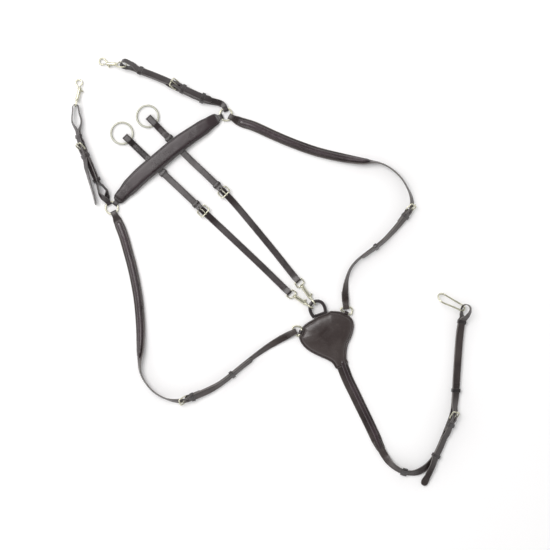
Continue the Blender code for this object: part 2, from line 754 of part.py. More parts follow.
class Snap:
    """A bolt snap from the eye in its leather loop to its hook, with a sprung thumb bolt."""

    def __init__(self, name, eye, hook, normal, eye_side, knob_in_plane, shape):
        self.name = name
        self.shape = shape
        reach = (hook - eye).length / MM
        self.centre = math.sqrt(reach ** 2 - HOOK_DROP ** 2)
        turn = Matrix.Rotation(math.atan2(HOOK_DROP, self.centre), 3, normal)
        ahead = (turn @ (hook - eye)).normalized()
        across = normal.cross(ahead).normalized()
        over = ahead.cross(across).normalized()
        self.frame = Matrix.Translation(eye) @ Matrix((ahead, across, over)).transposed().to_4x4()
        upright = ahead.cross(eye_side).normalized()
        leaning = Matrix((ahead, eye_side, upright)).transposed().to_4x4()
        self.eye_frame = Matrix.Translation(eye) @ leaning
        self.knob_in_plane = knob_in_plane
        self.front = self.centre - 10.6

    def place(self, x, y, z=0.0):
        """Return a point of the snap in metres."""
        return self.frame @ (Vector((x, y, z)) * MM)

    def make(self):
        """Make the body and the bolt."""
        body = cylinder(self.name, self.frame, self.shape.length - 1.0, self.front, BARREL, 12)
        combine(body, self.hook(), "UNION")
        combine(body, self.eye(), "UNION")
        bore = cylinder(self.name + "_bore", self.frame, self.front - 20.6, self.front + 1.2, BORE, 10)
        combine(body, hide(bore), "DIFFERENCE")
        combine(body, self.slot(), "DIFFERENCE")
        return body, self.bolt()

    def hook(self):
        """Make the open round hook, from its tip back into the barrel."""
        path = []
        for angle in (122, 95, 65, 32, 0, -32, -64, -95, -125, -152):
            turn = math.radians(angle)
            path.append((self.centre + HOOK * math.cos(turn), HOOK * math.sin(turn) - HOOK_DROP))
        path += [(self.centre - 9.2, -5.4), (self.front - 2.5, -2.1), (self.front - 6.5, -0.9)]
        builder = bmesh.new()
        plane = self.frame.to_3x3() @ Vector((0.0, 0.0, 1.0))
        wire(builder, [self.place(x, y) for x, y in path], HOOK_WIRE, plane, 6)
        return hide(finish(self.name + "_hook", builder, BRASS))

    def eye(self):
        """Make the square eye that the strap's loop runs through."""
        builder = bmesh.new()
        points = [self.eye_frame @ (Vector((x, y, 0.0)) * MM)
                  for x, y in rounded_frame(self.shape.length, self.shape.half, self.shape.corner, 2)]
        wire(builder, points, EYE_WIRE, self.eye_frame.to_3x3().col[2], 6, True)
        return hide(finish(self.name + "_eye", builder, BRASS))

    def slot(self):
        """Make the cutter for the slot that the thumb knob slides in."""
        low, high = self.front - 12.9, self.front - 3.5
        if self.knob_in_plane:
            return box(self.name + "_slot", self.frame, (low, 0.0, -1.45), (high, 5.0, 1.45))
        return box(self.name + "_slot", self.frame, (low, -1.45, 0.0), (high, 1.45, 5.0))

    def bolt(self):
        """Make the sliding bolt with its thumb knob."""
        tip = self.centre + HOOK * math.cos(math.radians(122)) - HOOK_WIRE - 0.35
        bolt = cylinder(self.name + "_bolt", self.frame, self.front - 14.0, tip, BOLT, 10)
        spot = self.front - 5.0
        path = [(0.0, 1.1), (4.4, 1.1), (5.2, 2.1), (7.2, 2.1), (8.2, 0.8)]
        builder = bmesh.new()
        rings = []
        for out, radius in path:
            points = []
            for a, b in circle_points(radius, 8):
                spot_in_plane = (spot + a, out, b) if self.knob_in_plane else (spot + a, b, out)
                points.append(self.place(*spot_in_plane))
            rings.append(points)
        loft(builder, rings)
        combine(bolt, hide(finish(self.name + "_knob", builder, BRASS)), "UNION")
        return bolt


def padding(name, guide, start, end, n, wide, tall):
    """Make the raised padded roll that runs along the middle of a strap."""
    rows = [
        lay(start, n - tall * 0.2, 0, tall * 0.6, wide * 0.6),
        lay(start + 5, n, 0, tall, wide),
        lay(end - 10, n, 0, tall, wide),
        lay(end, n - tall * 0.2, 0, tall * 0.6, wide * 0.5),
    ]
    return strap(name, guide, rows, PADDED_BROWN, edge=tall * 0.42)


def side_run(side, route, points, pad_end, ring_points):
    """Make one side: the padded shoulder strap, the chest strap and the fittings between them."""
    guide = Guide(route)
    buckle = Buckle(guide, points["buckle"], -1)
    tip = guide.near(points["tip"])
    pad = guide.near(pad_end)
    over = BAR + GAP + SKIVED + LEATHER / 2
    shoulder = [lay(36, -2.1, 0, SKIVED, 19), lay(15, -2.1, 0, SKIVED, 18)]
    shoulder += ring_fold(0.0, 1, 0.0, 2.5)
    shoulder += [
        lay(17, 0.2, 0, LEATHER, 19), lay(32, 0.2, 0, LEATHER, 21), lay(pad - 20, 0.2, 0, LEATHER, 21),
        lay(pad + 6, 0.2), lay(buckle.front_s - 10, 0.6), lay(buckle.front_s, 1.4),
        lay(buckle.rear_s, buckle.rear + over + 0.7), lay(buckle.rear_s + 9, BILLET),
        lay(tip - 10, BILLET), lay(tip - 3, BILLET, 0, LEATHER, 12), lay(tip, BILLET, 0, LEATHER, 5),
    ]
    shoulder_strap = strap("shoulder_strap_" + side, guide, shoulder)
    padding("shoulder_pad_" + side, guide, 20, pad - 4, 4.15, 11.0, 4.0)
    bar = guide.length
    chest = buckle.chape(MAIN, RETURN, True)
    chest.append(lay(bar - 16, MAIN, 0, LEATHER, 15))
    chest += ring_fold(bar, -1, -1.5, 0.3, from_top=True)
    chest += [lay(bar - 16, RETURN - 0.1, 0, SKIVED, 14), lay(bar - 34, RETURN, 0, SKIVED, 15)]
    chest_strap = strap("chest_strap_" + side, guide, chest)
    sewn_keeper("chest_loop_" + side, chest_strap, guide, buckle.rear_s + 13,
                RETURN + GAP, BILLET + LEATHER / 2)
    buckle.slots("chest_buckle_" + side, chest_strap, billet=False)
    buckle.slots("shoulder_" + side, shoulder_strap, chape=False)
    buckle_frame("chest_buckle_" + side, buckle)
    buckle.tongue("chest_tongue_" + side)
    slide_keeper("chest_keeper_" + side, guide, guide.near(points["keeper"]),
                 MAIN - LEATHER / 2, BILLET + LEATHER / 2)
    plate_ring("plate_ring_" + side, ring_points)
    return guide


def plate_ring(name, layout):
    """Make the squared ring that joins a chest strap to the plate."""
    corners = [place(*point, 4.2) for point in layout]
    points = closed_curve(corners, 2)
    builder = bmesh.new()
    wire(builder, points, RING_WIRE, Vector((0.0, 0.0, 1.0)), 6, closed=True)
    return finish(name, builder, BRASS)


def wither_strap(guide):
    """Make the strap over the withers: its flat backing and the padded band on top."""
    last = guide.length
    under = -2.2
    rows = [lay(34, under, 0, SKIVED, 24), lay(10, under, 0, SKIVED, 22)]
    rows += ring_fold(0.0, 1, 0.0, 1.7, 11.0)
    rows += [
        lay(8, 0.1, 0, LEATHER, 22), lay(12, 0.1, 0, LEATHER, 25.5), lay(24, 0.1, 0, LEATHER, 28),
        lay(50, 0.1, 0, LEATHER, 35), lay(90, 0.1, 0, LEATHER, 36.5), lay(170, 0.1, 0, LEATHER, 36.5),
        lay(last - 46, 0.1, 0, LEATHER, 33), lay(last - 22, 0.1, 0, LEATHER, 27),
        lay(last - 12, 0.1, 0, LEATHER, 25), lay(last - 8, 0.1, 0, LEATHER, 22),
    ]
    rows += ring_fold(last, -1, 0.0, 1.7, 11.0, True)
    rows += [lay(last - 10, under, 0, SKIVED, 22), lay(last - 34, under, 0, SKIVED, 24)]
    strap("wither_strap", guide, rows)
    low = 0.1 + LEATHER / 2 + 0.35
    pad = [
        lay(11, low + 1.2, 0.8, 2.4, 18), lay(15, low + 1.9, 0.8, 3.8, 20),
        lay(34, low + 2.4, 0.8, 4.8, 23), lay(60, low + 2.7, 0.8, 5.4, 27),
        lay(100, low + 2.8, 0.8, 5.6, 28.5), lay(170, low + 2.8, 0.8, 5.6, 28.5),
        lay(last - 60, low + 2.7, 0.8, 5.4, 27), lay(last - 32, low + 2.4, 0.8, 4.8, 22.5),
        lay(last - 15, low + 1.9, 0.8, 3.8, 20), lay(last - 11, low + 1.2, 0.8, 2.4, 18),
    ]
    strap("wither_pad", guide, pad, PADDED_BROWN, edge=2.2)


def saddle_run(side, route, points, hook, shape, loop, spread_by, sag, hook_turn, tip_route=None):
    """Make one saddle strap, doubled between neck ring and snap and buckled to itself.

    Its layers stand apart by the spread near the neck ring. A tip route leads the billet away from
    the strap; without one it lies along the strap.
    """
    guide = Guide(route)
    buckle = Buckle(guide, points["buckle"], 1, -0.6, 5.6)
    tip = guide.near(points["tip"])
    tie = guide.near(points["tie"])
    end = guide.length
    name = "saddle_strap_" + side
    hold = guide.near(points["keeper"])
    turn = shape.turn
    apex = end + shape.slack - turn - SKIVED / 2
    rows = buckle.chape(0.4, -1.7, True, return_length=30.0)
    rows += [
        lay(hold - 5, 0.4), lay(hold - 8, 0.4), lay(hold * 0.66, 0.4 + spread_by * 0.6, 0, 2.0, 14),
        lay(hold * 0.45, 0.4 + spread_by, 0, 2.0, 13), lay(hold * 0.25, 0.4 + spread_by * 0.9, 0, 2.0, 13),
    ]
    rows += ring_fold(0.0, 1, 0.0, sag, 11.0, True)
    rows += [
        lay(hold * 0.25, -4.1 - spread_by, 0, 2.0, 13),
        lay(hold * 0.45, -4.1 - spread_by * 1.4, 0, 2.0, 13),
        lay(hold * 0.66, -4.1 - spread_by * 0.9, 0, 2.0, 14), lay(hold - 8, -4.1),
        lay(hold - 5, -4.1),
        lay(buckle.rear_s - 12, -4.2),
        lay(buckle.rear_s, -5.7), lay(buckle.front_s, -5.7), lay(buckle.front_s + 14, -1.5),
        lay(tie + 4, -1.5), lay(tie + 7, -1.6), lay((tie + apex) / 2 + 2, -loop, 0, 2.0, 14),
        lay(apex - 3, -turn, 0, SKIVED, shape.leather),
    ]
    rows += fold(apex, 0, turn, 1, wide=shape.leather, from_top=False, steps=8)
    rows += [
        lay((tie + apex) / 2 + 2, loop, 0, 2.0, 14), lay(tie + 7, 1.6), lay(tie + 4, 1.5), lay(buckle.front_s + 10, 1.5),
        lay(buckle.front_s, 1.8), lay(buckle.rear_s, 4.1), lay(buckle.rear_s - 9, 3.3),
    ]
    tail = None
    top = 4.7
    if tip_route:
        line = Guide(tip_route)
        rows.append(lay(buckle.rear_s - 16, 3.3))
        tail = (line, [
            lay(3, 3.6), lay(16, 4.2), lay(32, 3.0), lay(line.length - 12, 1.5),
            lay(line.length - 3, 1.5, 0, LEATHER, 12), lay(line.length, 1.5, 0, LEATHER, 5),
        ])
        top = 0.4 + LEATHER / 2
    else:
        rows += [lay(tip + 10, 3.3), lay(tip + 3, 3.3, 0, LEATHER, 12), lay(tip, 3.3, 0, LEATHER, 5)]
    main = strap(name, guide, rows, tail=tail)
    sewn_keeper("saddle_loop_" + side, main, guide, buckle.rear_s - 13, -4.6, 4.4)
    sewn_keeper("saddle_tie_" + side, main, guide, tie, -1.5, 2.75, 8.2)
    buckle.slots("saddle_buckle_" + side, main)
    frame = buckle_frame("saddle_buckle_" + side, buckle)
    buckle.tongue("saddle_tongue_" + side)
    slide_keeper("saddle_keeper_" + side, guide, hold, -5.5, top, 8.2)
    eye = guide.at(end)
    centre = place(*hook, 5.5)
    level = Vector((0.0, 0.0, 1.0)).cross(centre - eye).normalized()
    normal = (centre - eye).cross(level).normalized() * hook_turn
    snap = Snap("saddle_snap_" + side, eye, centre, normal, guide.frame(end)[2], True, shape)
    for piece in snap.make():
        pivot(piece, eye)
    for piece in (main, frame):
        pivot(piece, guide.at(0.0))


def fork_run(side, route, points, apex, catch):
    """Make one branch of the martingale fork, from its rein ring to the snap on the plate."""
    guide = Guide(route)
    buckle = Buckle(guide, points["buckle"], 1)
    tip = guide.near(points["tip"])
    mid = -1.6
    radius = 4.2
    upper = [lay(34, RETURN, 0, SKIVED, 14), lay(12, RETURN, 0, SKIVED, 14)]
    upper += [lay(1, mid - radius, 0, SKIVED, 14)]
    upper += fold(-apex, mid, radius, -1, wide=14, from_top=False)
    upper += [lay(1, mid + radius, 0, SKIVED, 14), lay(13, MAIN, 0, LEATHER, 14)]
    upper += buckle.chape(MAIN, RETURN, False, wide=14)
    upper_strap = strap("fork_upper_strap_" + side, guide, upper)
    sewn_keeper("fork_loop_" + side, upper_strap, guide, buckle.rear_s - 13,
                RETURN + GAP, BILLET + LEATHER / 2, 7.0)
    end = guide.length
    eye_fold = EYE_WIRE + 0.5 + SKIVED / 2
    lower = [lay(end - 34, -1.75, 0, SKIVED, 13), lay(end - 8, -1.75, 0, SKIVED, FOLD)]
    lower += fold(end, 0, eye_fold, 1, from_top=False)
    lower += [
        lay(end - 10, 0.3, 0, LEATHER, 14), lay(buckle.front_s + 14, 0.3, 0, LEATHER, 14),
        lay(buckle.front_s, 1.4, 0, LEATHER, 14), lay(buckle.rear_s, 3.5, 0, LEATHER, 14),
        lay(buckle.rear_s - 9, BILLET, 0, LEATHER, 14), lay(tip + 10, BILLET, 0, LEATHER, 14),
        lay(tip + 3, BILLET, 0, LEATHER, 10), lay(tip, BILLET, 0, LEATHER, 5),
    ]
    lower_strap = strap("fork_lower_strap_" + side, guide, lower)
    buckle.slots("fork_buckle_" + side, upper_strap, billet=False)
    buckle.slots("fork_billet_" + side, lower_strap, chape=False)
    frame = buckle_frame("fork_buckle_" + side, buckle)
    buckle.tongue("fork_tongue_" + side)
    slide_keeper("fork_keeper_" + side, guide, guide.near(points["keeper"]),
                 MAIN - LEATHER / 2, BILLET + LEATHER / 2, 7.0)
    heading = guide.frame(0.0)[1]
    centre = guide.at(0.0, mid) - heading * (MARTINGALE_RING * MM)
    pivot(ring("fork_ring_" + side, centre, MARTINGALE_RING, 2.1, 28), guide.at(0.0, mid))
    eye = guide.at(end)
    centre = place(*catch, HOOK + HOOK_WIRE + 0.2)
    normal = Vector((0.0, 0.0, 1.0)).cross(centre - eye).normalized()
    snap = Snap("fork_snap_" + side, eye, centre, normal, guide.frame(end)[2], False, SHORT_EYE)
    for piece in (upper_strap, lower_strap, frame, *snap.make()):
        pivot(piece, centre)


def plate_solid(name, inset, low, levels, colour):
    """Make a slab of the plate's outline: each level is an extra inset and a height."""
    points = [place(*point).xy for point in PLATE_OUTLINE]
    rings = [inset_outline(points, inset, low)]
    rings += [inset_outline(points, inset + extra, height) for extra, height in levels]
    builder = bmesh.new()
    loft(builder, rings)
    return finish(name, builder, colour)


def inset_outline(points, shrink, height):
    """Return the outline moved inwards by a distance, at a height."""
    moved = []
    count = len(points)
    for index, point in enumerate(points):
        along = (points[(index + 1) % count] - points[index - 1]).normalized()
        inward = Vector((along.y, -along.x))
        spot = point + inward * (shrink * MM)
        moved.append(Vector((spot.x, spot.y, height * MM)))
    return moved


def chest_plate():
    """Make the chest plate: lining, padded face, rolled loop and the tabs of its two rings."""
    lining = plate_solid("plate_lining", 1.2, 0.1, [(0.0, 2.0)], LINING_BROWN)
    face = plate_solid("plate_face", 0.0, 2.35, [
        (0.0, 5.4), (1.2, 6.6), (3.6, 6.9), (5.4, 8.6), (8.6, 10.4),
    ], PADDED_BROWN)
    for side, tab in (("right", RIGHT_RING_TAB), ("left", LEFT_RING_TAB)):
        guide = Guide([stop(*tab[1], 0, 4.1), stop(*tab[0], 0, 4.1)])
        end = guide.length
        rows = [lay(0.5, -2.95, 0, SKIVED, 9)] + ring_fold(end, -1, 0, 0.0, 9)[:-1]
        rows.append(lay(end - 2.6, RING_WIRE + GAP + SKIVED / 2, 0, SKIVED, 9))
        cut = guide.matrix(end)
        combine(face, box("pocket_" + side, cut, (-3.4, -11.0, -2.2), (9.0, 11.0, 7.0)), "DIFFERENCE")
        combine(lining, hide(strap("tab_" + side, guide, rows, LINING_BROWN)), "UNION")
    points = [place(*row) for row in smooth(PLATE_LOOP_ROUTE, 2)]
    builder = bmesh.new()
    wire(builder, points, LOOP_ROLL, Vector((0.0, 0.0, 1.0)), 8)
    loop = finish("plate_loop", builder, LEATHER_BROWN)
    base = Guide([stop(312.0, 317.0, 0, 3.6), stop(326.3, 311.9, 0, 3.6)])
    cut = base.matrix(0.0)
    block = box("loop_base", cut, (0.0, -2.6, -3.3), (base.length, 2.6, 3.4))
    combine(loop, block, "UNION")
    for thing in (face, lining):
        gap = box(thing.name + "_gap", cut, (-3.0, -3.0, -4.5), (base.length + 3.5, 9.0, 7.0))
        combine(thing, gap, "DIFFERENCE")


def girth_run(guide):
    """Make the tail of the plate and the long girth strap, looped through its clip."""
    tail_end = guide.near((382.0, 450.5))
    tail = [
        lay(1.6, 0, 0, LEATHER, 25), lay(42, 0, 0, LEATHER, 24),
        lay(tail_end - 30, 0, 0, LEATHER, 23), lay(tail_end, 0, 0, LEATHER, 18),
    ]
    strap("tail_strap", guide, tail)
    padding("tail_pad", guide, 2, tail_end - 27, 3.7, 12.0, 4.2)
    buckle = Buckle(guide, GIRTH_BUCKLE, 1, 5.2, 10.2)
    chape_radius = BAR + 0.4 + SKIVED / 2
    tip_keeper = guide.near(GIRTH_TIP_KEEPER)
    end = guide.length
    turn = GIRTH_LOOP_TURN
    band = guide.near(GIRTH_UPPER_BAND)
    on_top = LEATHER + 0.5
    rows = [
        lay(tail_end - 24, on_top, 0, LEATHER, 16), lay(tail_end + 2, on_top), lay(tail_end + 15, 0.1),
        lay(buckle.front_s + 20, 0.1), lay(band + 4, -0.5), lay(band + 8, -2.6),
        lay(band + 16, -8.4, 0, 2.0, 12), lay(end - turn - 3, -turn, 0, 2.0, 9),
    ]
    rows += fold(end - turn, 0, turn, 1, thick=2.0, wide=9, from_top=False, steps=8)
    rows += [
        lay(end - turn - 3, turn, 0, 2.0, 12), lay(band + 16, 9.2, 0, 2.0, 14),
        lay(band + 8, on_top + 2.0), lay(band + 4, on_top + 0.6), lay(buckle.front_s + 14, on_top),
        lay(buckle.front_s, 6.2), lay(buckle.rear_s, 9.9), lay(buckle.rear_s - 9, 7.2),
        lay(buckle.rear_s - 30, 6.4), lay(buckle.rear_s - 46, on_top), lay(tip_keeper - 5, on_top),
    ]
    tip = Guide(GIRTH_TIP_ROUTE)
    tip_rows = [
        lay(4, on_top + 0.4), lay(tip.near((430.8, 465.4)), on_top + 2.4), lay(tip.near((427.2, 475.0)), 5.0),
        lay(tip.length - 4, 2.0, 0, LEATHER, 13), lay(tip.length, 1.6, 0, LEATHER, 6),
    ]
    main = strap("girth_strap", guide, rows, tail=(tip, tip_rows))
    top = on_top + LEATHER / 2
    sewn_keeper("girth_lower_band", main, guide, guide.near(GIRTH_LOWER_BAND), -0.4, top)
    sewn_keeper("girth_upper_band", main, guide, guide.near(GIRTH_UPPER_BAND), -0.4, top)
    buckle.slots("girth_buckle", main, chape=False)
    low = LEATHER / 2 + 0.1 + GAP + SKIVED / 2
    high = low + SKIVED + 0.3
    chape = [lay(buckle.rear_s - 28, low, 0, SKIVED), lay(buckle.rear_s - 9, low, 0, SKIVED)]
    chape += fold(buckle.rear_s, buckle.rear, chape_radius, 1, wide=STRAP, from_top=False)
    chape += [lay(buckle.rear_s - 9, high, 0, SKIVED), lay(buckle.rear_s - 28, high, 0, SKIVED)]
    chape_strap = strap("girth_chape", guide, chape)
    sewn_keeper("girth_loop", chape_strap, guide, buckle.rear_s - 14, high + GAP, 8.6)
    buckle.slots("girth_chape_cut", chape_strap, billet=False)
    buckle_frame("girth_buckle", buckle)
    buckle.tongue("girth_tongue")
    slide_keeper("girth_tail_keeper", guide, guide.near(GIRTH_TAIL_KEEPER), -1.1, 1.3)
    slide_keeper("girth_tip_keeper", guide, tip_keeper, -1.1, on_top + 1.2)
    clip(guide)


def clip_frame(guide):
    """Return the clip's frame: X towards its big end, Y in its plane, along the wire in the loop."""
    origin = guide.at(guide.length - GIRTH_LOOP_TURN, -CLIP_OFF_CENTRE)
    origin.z = CLIP_HEIGHT * MM
    ahead = (place(*CLIP_AIM, CLIP_AIM_HEIGHT) - origin).normalized()
    level = Vector((0.0, 0.0, 1.0)).cross(ahead).normalized()
    over = ahead.cross(level)
    tilt = math.radians(CLIP_TILT)
    across = level * math.cos(tilt) + over * math.sin(tilt)
    return Matrix.Translation(origin) @ Matrix((ahead, across, ahead.cross(across))).transposed().to_4x4()


def clip(guide):
    """Make the pear-shaped spring clip: its bent wire and its gate."""
    frame = clip_frame(guide)
    normal = frame.to_3x3().col[2]
    points = [frame @ (Vector((x, y, 0.0)) * MM) for x, y in smooth(CLIP_BODY, 3)]
    builder = bmesh.new()
    wire(builder, points, CLIP_WIRE, normal, 6)
    pivot(finish("girth_clip", builder, BRASS), frame.translation)
    builder = bmesh.new()
    wire(builder, [frame @ (Vector((x, y, 0.0)) * MM) for x, y in CLIP_GATE], 1.7, normal, 6)
    hinge = frame @ (Vector((*CLIP_BODY[-1], 0.0)) * MM)
    pivot(finish("girth_clip_gate", builder, BRASS), hinge)


def main():
    """Clear the scene and make every piece."""
    for thing in list(bpy.data.objects):
        bpy.data.objects.remove(thing)
    side_run("right", RIGHT_SIDE_ROUTE, {
        "buckle": RIGHT_CHEST_BUCKLE, "keeper": RIGHT_CHEST_KEEPER, "tip": RIGHT_BILLET_TIP},
        (371.5, 162.0), RIGHT_PLATE_RING)
    side_run("left", LEFT_SIDE_ROUTE, {
        "buckle": LEFT_CHEST_BUCKLE, "keeper": LEFT_CHEST_KEEPER, "tip": LEFT_BILLET_TIP},
        (139.9, 360.0), LEFT_PLATE_RING)
    wither_strap(Guide(WITHER_ROUTE))
    ring("neck_ring_left", place(*LEFT_NECK_RING, 4.2), NECK_RING, RING_WIRE)
    ring("neck_ring_right", place(*RIGHT_NECK_RING, 4.2), NECK_RING, RING_WIRE)
    saddle_run("right", RIGHT_SADDLE_ROUTE, {
        "buckle": RIGHT_SADDLE_BUCKLE, "tip": RIGHT_SADDLE_TIP, "tie": RIGHT_SADDLE_TIE,
        "keeper": RIGHT_SADDLE_KEEPER}, RIGHT_HOOK, LONG_EYE, 9.7, 0.3, 3.9, 1.0)
    saddle_run("left", LEFT_SADDLE_ROUTE, {
        "buckle": LEFT_SADDLE_BUCKLE, "tip": LEFT_SADDLE_TIP, "tie": LEFT_SADDLE_TIE,
        "keeper": LEFT_SADDLE_KEEPER}, LEFT_HOOK, SHORT_EYE, 8.0, 5.8, 1.7, -1.0,
        LEFT_SADDLE_TIP_ROUTE)
    fork_run("left", LEFT_FORK_ROUTE, {
        "buckle": LEFT_FORK_BUCKLE, "tip": LEFT_FORK_TIP, "keeper": LEFT_FORK_KEEPER},
        10.0, LEFT_FORK_CATCH)
    fork_run("right", RIGHT_FORK_ROUTE, {
        "buckle": RIGHT_FORK_BUCKLE, "tip": RIGHT_FORK_TIP, "keeper": RIGHT_FORK_KEEPER},
        17.0, RIGHT_FORK_CATCH)
    chest_plate()
    girth_run(Guide(GIRTH_ROUTE))


main()
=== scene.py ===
"""A hunting breastplate with a running martingale fork, laid out flat and seen from above.

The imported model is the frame. Every strap, pad and fitting is made again here in full detail, on the
same guide lines that the model's solids follow, and rides on the body that carries it.
"""

from __future__ import annotations

import logging
import math
from dataclasses import dataclass, field
from enum import Enum
from typing import Iterable, NamedTuple, Sequence

import bmesh
import bpy
import numpy as np
from mathutils import Matrix, Vector

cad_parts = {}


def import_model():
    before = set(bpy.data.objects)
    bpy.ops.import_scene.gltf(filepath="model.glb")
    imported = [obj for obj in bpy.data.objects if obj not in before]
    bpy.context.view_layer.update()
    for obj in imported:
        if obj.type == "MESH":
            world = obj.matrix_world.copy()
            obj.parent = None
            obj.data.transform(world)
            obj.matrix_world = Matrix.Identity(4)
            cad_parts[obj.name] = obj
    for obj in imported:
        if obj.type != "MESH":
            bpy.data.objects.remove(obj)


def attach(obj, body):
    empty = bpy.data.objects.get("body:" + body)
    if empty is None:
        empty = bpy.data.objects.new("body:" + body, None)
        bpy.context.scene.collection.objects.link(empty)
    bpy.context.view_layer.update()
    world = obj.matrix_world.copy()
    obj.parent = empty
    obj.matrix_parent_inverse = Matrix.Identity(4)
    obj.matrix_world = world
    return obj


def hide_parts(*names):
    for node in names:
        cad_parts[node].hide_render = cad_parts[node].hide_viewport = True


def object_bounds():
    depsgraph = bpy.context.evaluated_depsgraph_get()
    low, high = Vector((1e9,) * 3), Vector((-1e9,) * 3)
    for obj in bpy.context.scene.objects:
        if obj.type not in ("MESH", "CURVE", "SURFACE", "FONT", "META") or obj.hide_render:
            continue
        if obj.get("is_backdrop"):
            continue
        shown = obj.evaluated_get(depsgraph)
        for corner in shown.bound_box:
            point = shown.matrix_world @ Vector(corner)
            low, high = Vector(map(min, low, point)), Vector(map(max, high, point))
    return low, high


# The body that carries what doesn't move
ROOT = "breastplate"
LOG = logging.getLogger(ROOT)

MM = 0.001
# The layout's unit in millimetres, and the layout point that lies at the origin
PIXEL = 2.13
CENTRE_ACROSS = 271.45
CENTRE_DOWN = 271.8

# Leather and brass stock, in millimetres
STRAP = 16.0
FOLD = 13.0
LEATHER = 2.4
SKIVED = 1.3
BAND = 1.3
GAP = 0.35
RING_WIRE = 1.9
BAR = 1.4
EYE_WIRE = 1.5
TONGUE = 1.0
# The height of a lying ring's wire, and the room at each side of a sliding keeper
RING_REST = 4.2
SLIDE = 0.7

# Strap layers above or below the guide line
MAIN = -0.6
RETURN = -2.95
BILLET = 2.3
LOW_FACE = MAIN - LEATHER / 2
TOP_FACE = BILLET + LEATHER / 2

# How finely shapes are drawn: points for each span of a route, the distance in metres that welds two
# points, the angle in degrees that stays sharp, and the angles of the rings on a wire's rounded end
ROUTE_STEPS = 12
WELD = 1e-7
SHARP = 40.0
ROUND_END = (0.5, 1.0, 1.5)
# The same for padded pieces: the distance between drawn rows and the angle that stays sharp
PAD_SPACING = 4.0
PAD_SHARP = 60.0

UP = Vector((0.0, 0.0, 1.0))
Row = tuple[float, float, float, float, float]
Point = tuple[float, float]
Points = Sequence[Point]
Colour = tuple[float, float, float]
Stitch = tuple[Vector, Vector, Vector]
Shape = bmesh.types.BMesh
Thing = bpy.types.Object
Tree = bpy.types.NodeTree
Socket = bpy.types.NodeSocket
Material = bpy.types.Material


class Side(Enum):
    """The left or right side of the layout."""

    LEFT = "left"
    RIGHT = "right"


class Stop(NamedTuple):
    """A layout point of a route, with the strap's roll, its depth below the line and its half width."""

    across: float
    down: float
    roll: float = 0.0
    low: float = 1.5
    half: float = 8.1


Route = Sequence[Stop]


class Slot(Enum):
    """The record's material slots."""

    LEATHER = "leather"
    PADDED = "padded_leather"
    LINING = "lining_leather"
    BRASS = "brass"


def place(across: float, down: float, height: float = 0.0) -> Vector:
    """Turn a layout point and a height in millimetres into a point in metres."""
    scale = PIXEL * MM
    return Vector(((across - CENTRE_ACROSS) * scale, (CENTRE_DOWN - down) * scale, height * MM))


def lay(s: float, n: float, wide: float = STRAP, thick: float = LEATHER, u: float = 0.0) -> Row:
    """Return one row of a strap: how far along, above and beside the guide it lies."""
    return (s, n, u, thick, wide)


def smooth(rows: Sequence[Sequence[float]], steps: int) -> list[list[float]]:
    """Draw a Catmull-Rom curve through rows of numbers.

    Args:
        rows: The rows that the curve passes through.
        steps: How many points to draw for each span.

    Returns:
        The drawn rows, with the last given row at the end.
    """
    drawn = []
    last = len(rows) - 1
    for index in range(last):
        before = rows[max(index - 1, 0)]
        first, second = rows[index], rows[index + 1]
        after = rows[min(index + 2, last)]
        for step in range(steps):
            f = step / steps
            drawn.append([
                0.5 * (2 * b + (c - a) * f + (2 * a - 5 * b + 4 * c - d) * f ** 2
                       + (3 * b - a - 3 * c + d) * f ** 3)
                for a, b, c, d in zip(before, first, second, after)
            ])
    drawn.append(list(rows[last]))
    return drawn


def closed_curve(corners: Iterable[Sequence[float]], steps: int) -> list[Vector]:
    """Return a closed smooth curve through points."""
    rows = [list(point) for point in corners]
    drawn = smooth(rows[-1:] + rows + rows[:2], steps)
    return [Vector(row) for row in drawn[steps:-steps - 1]]


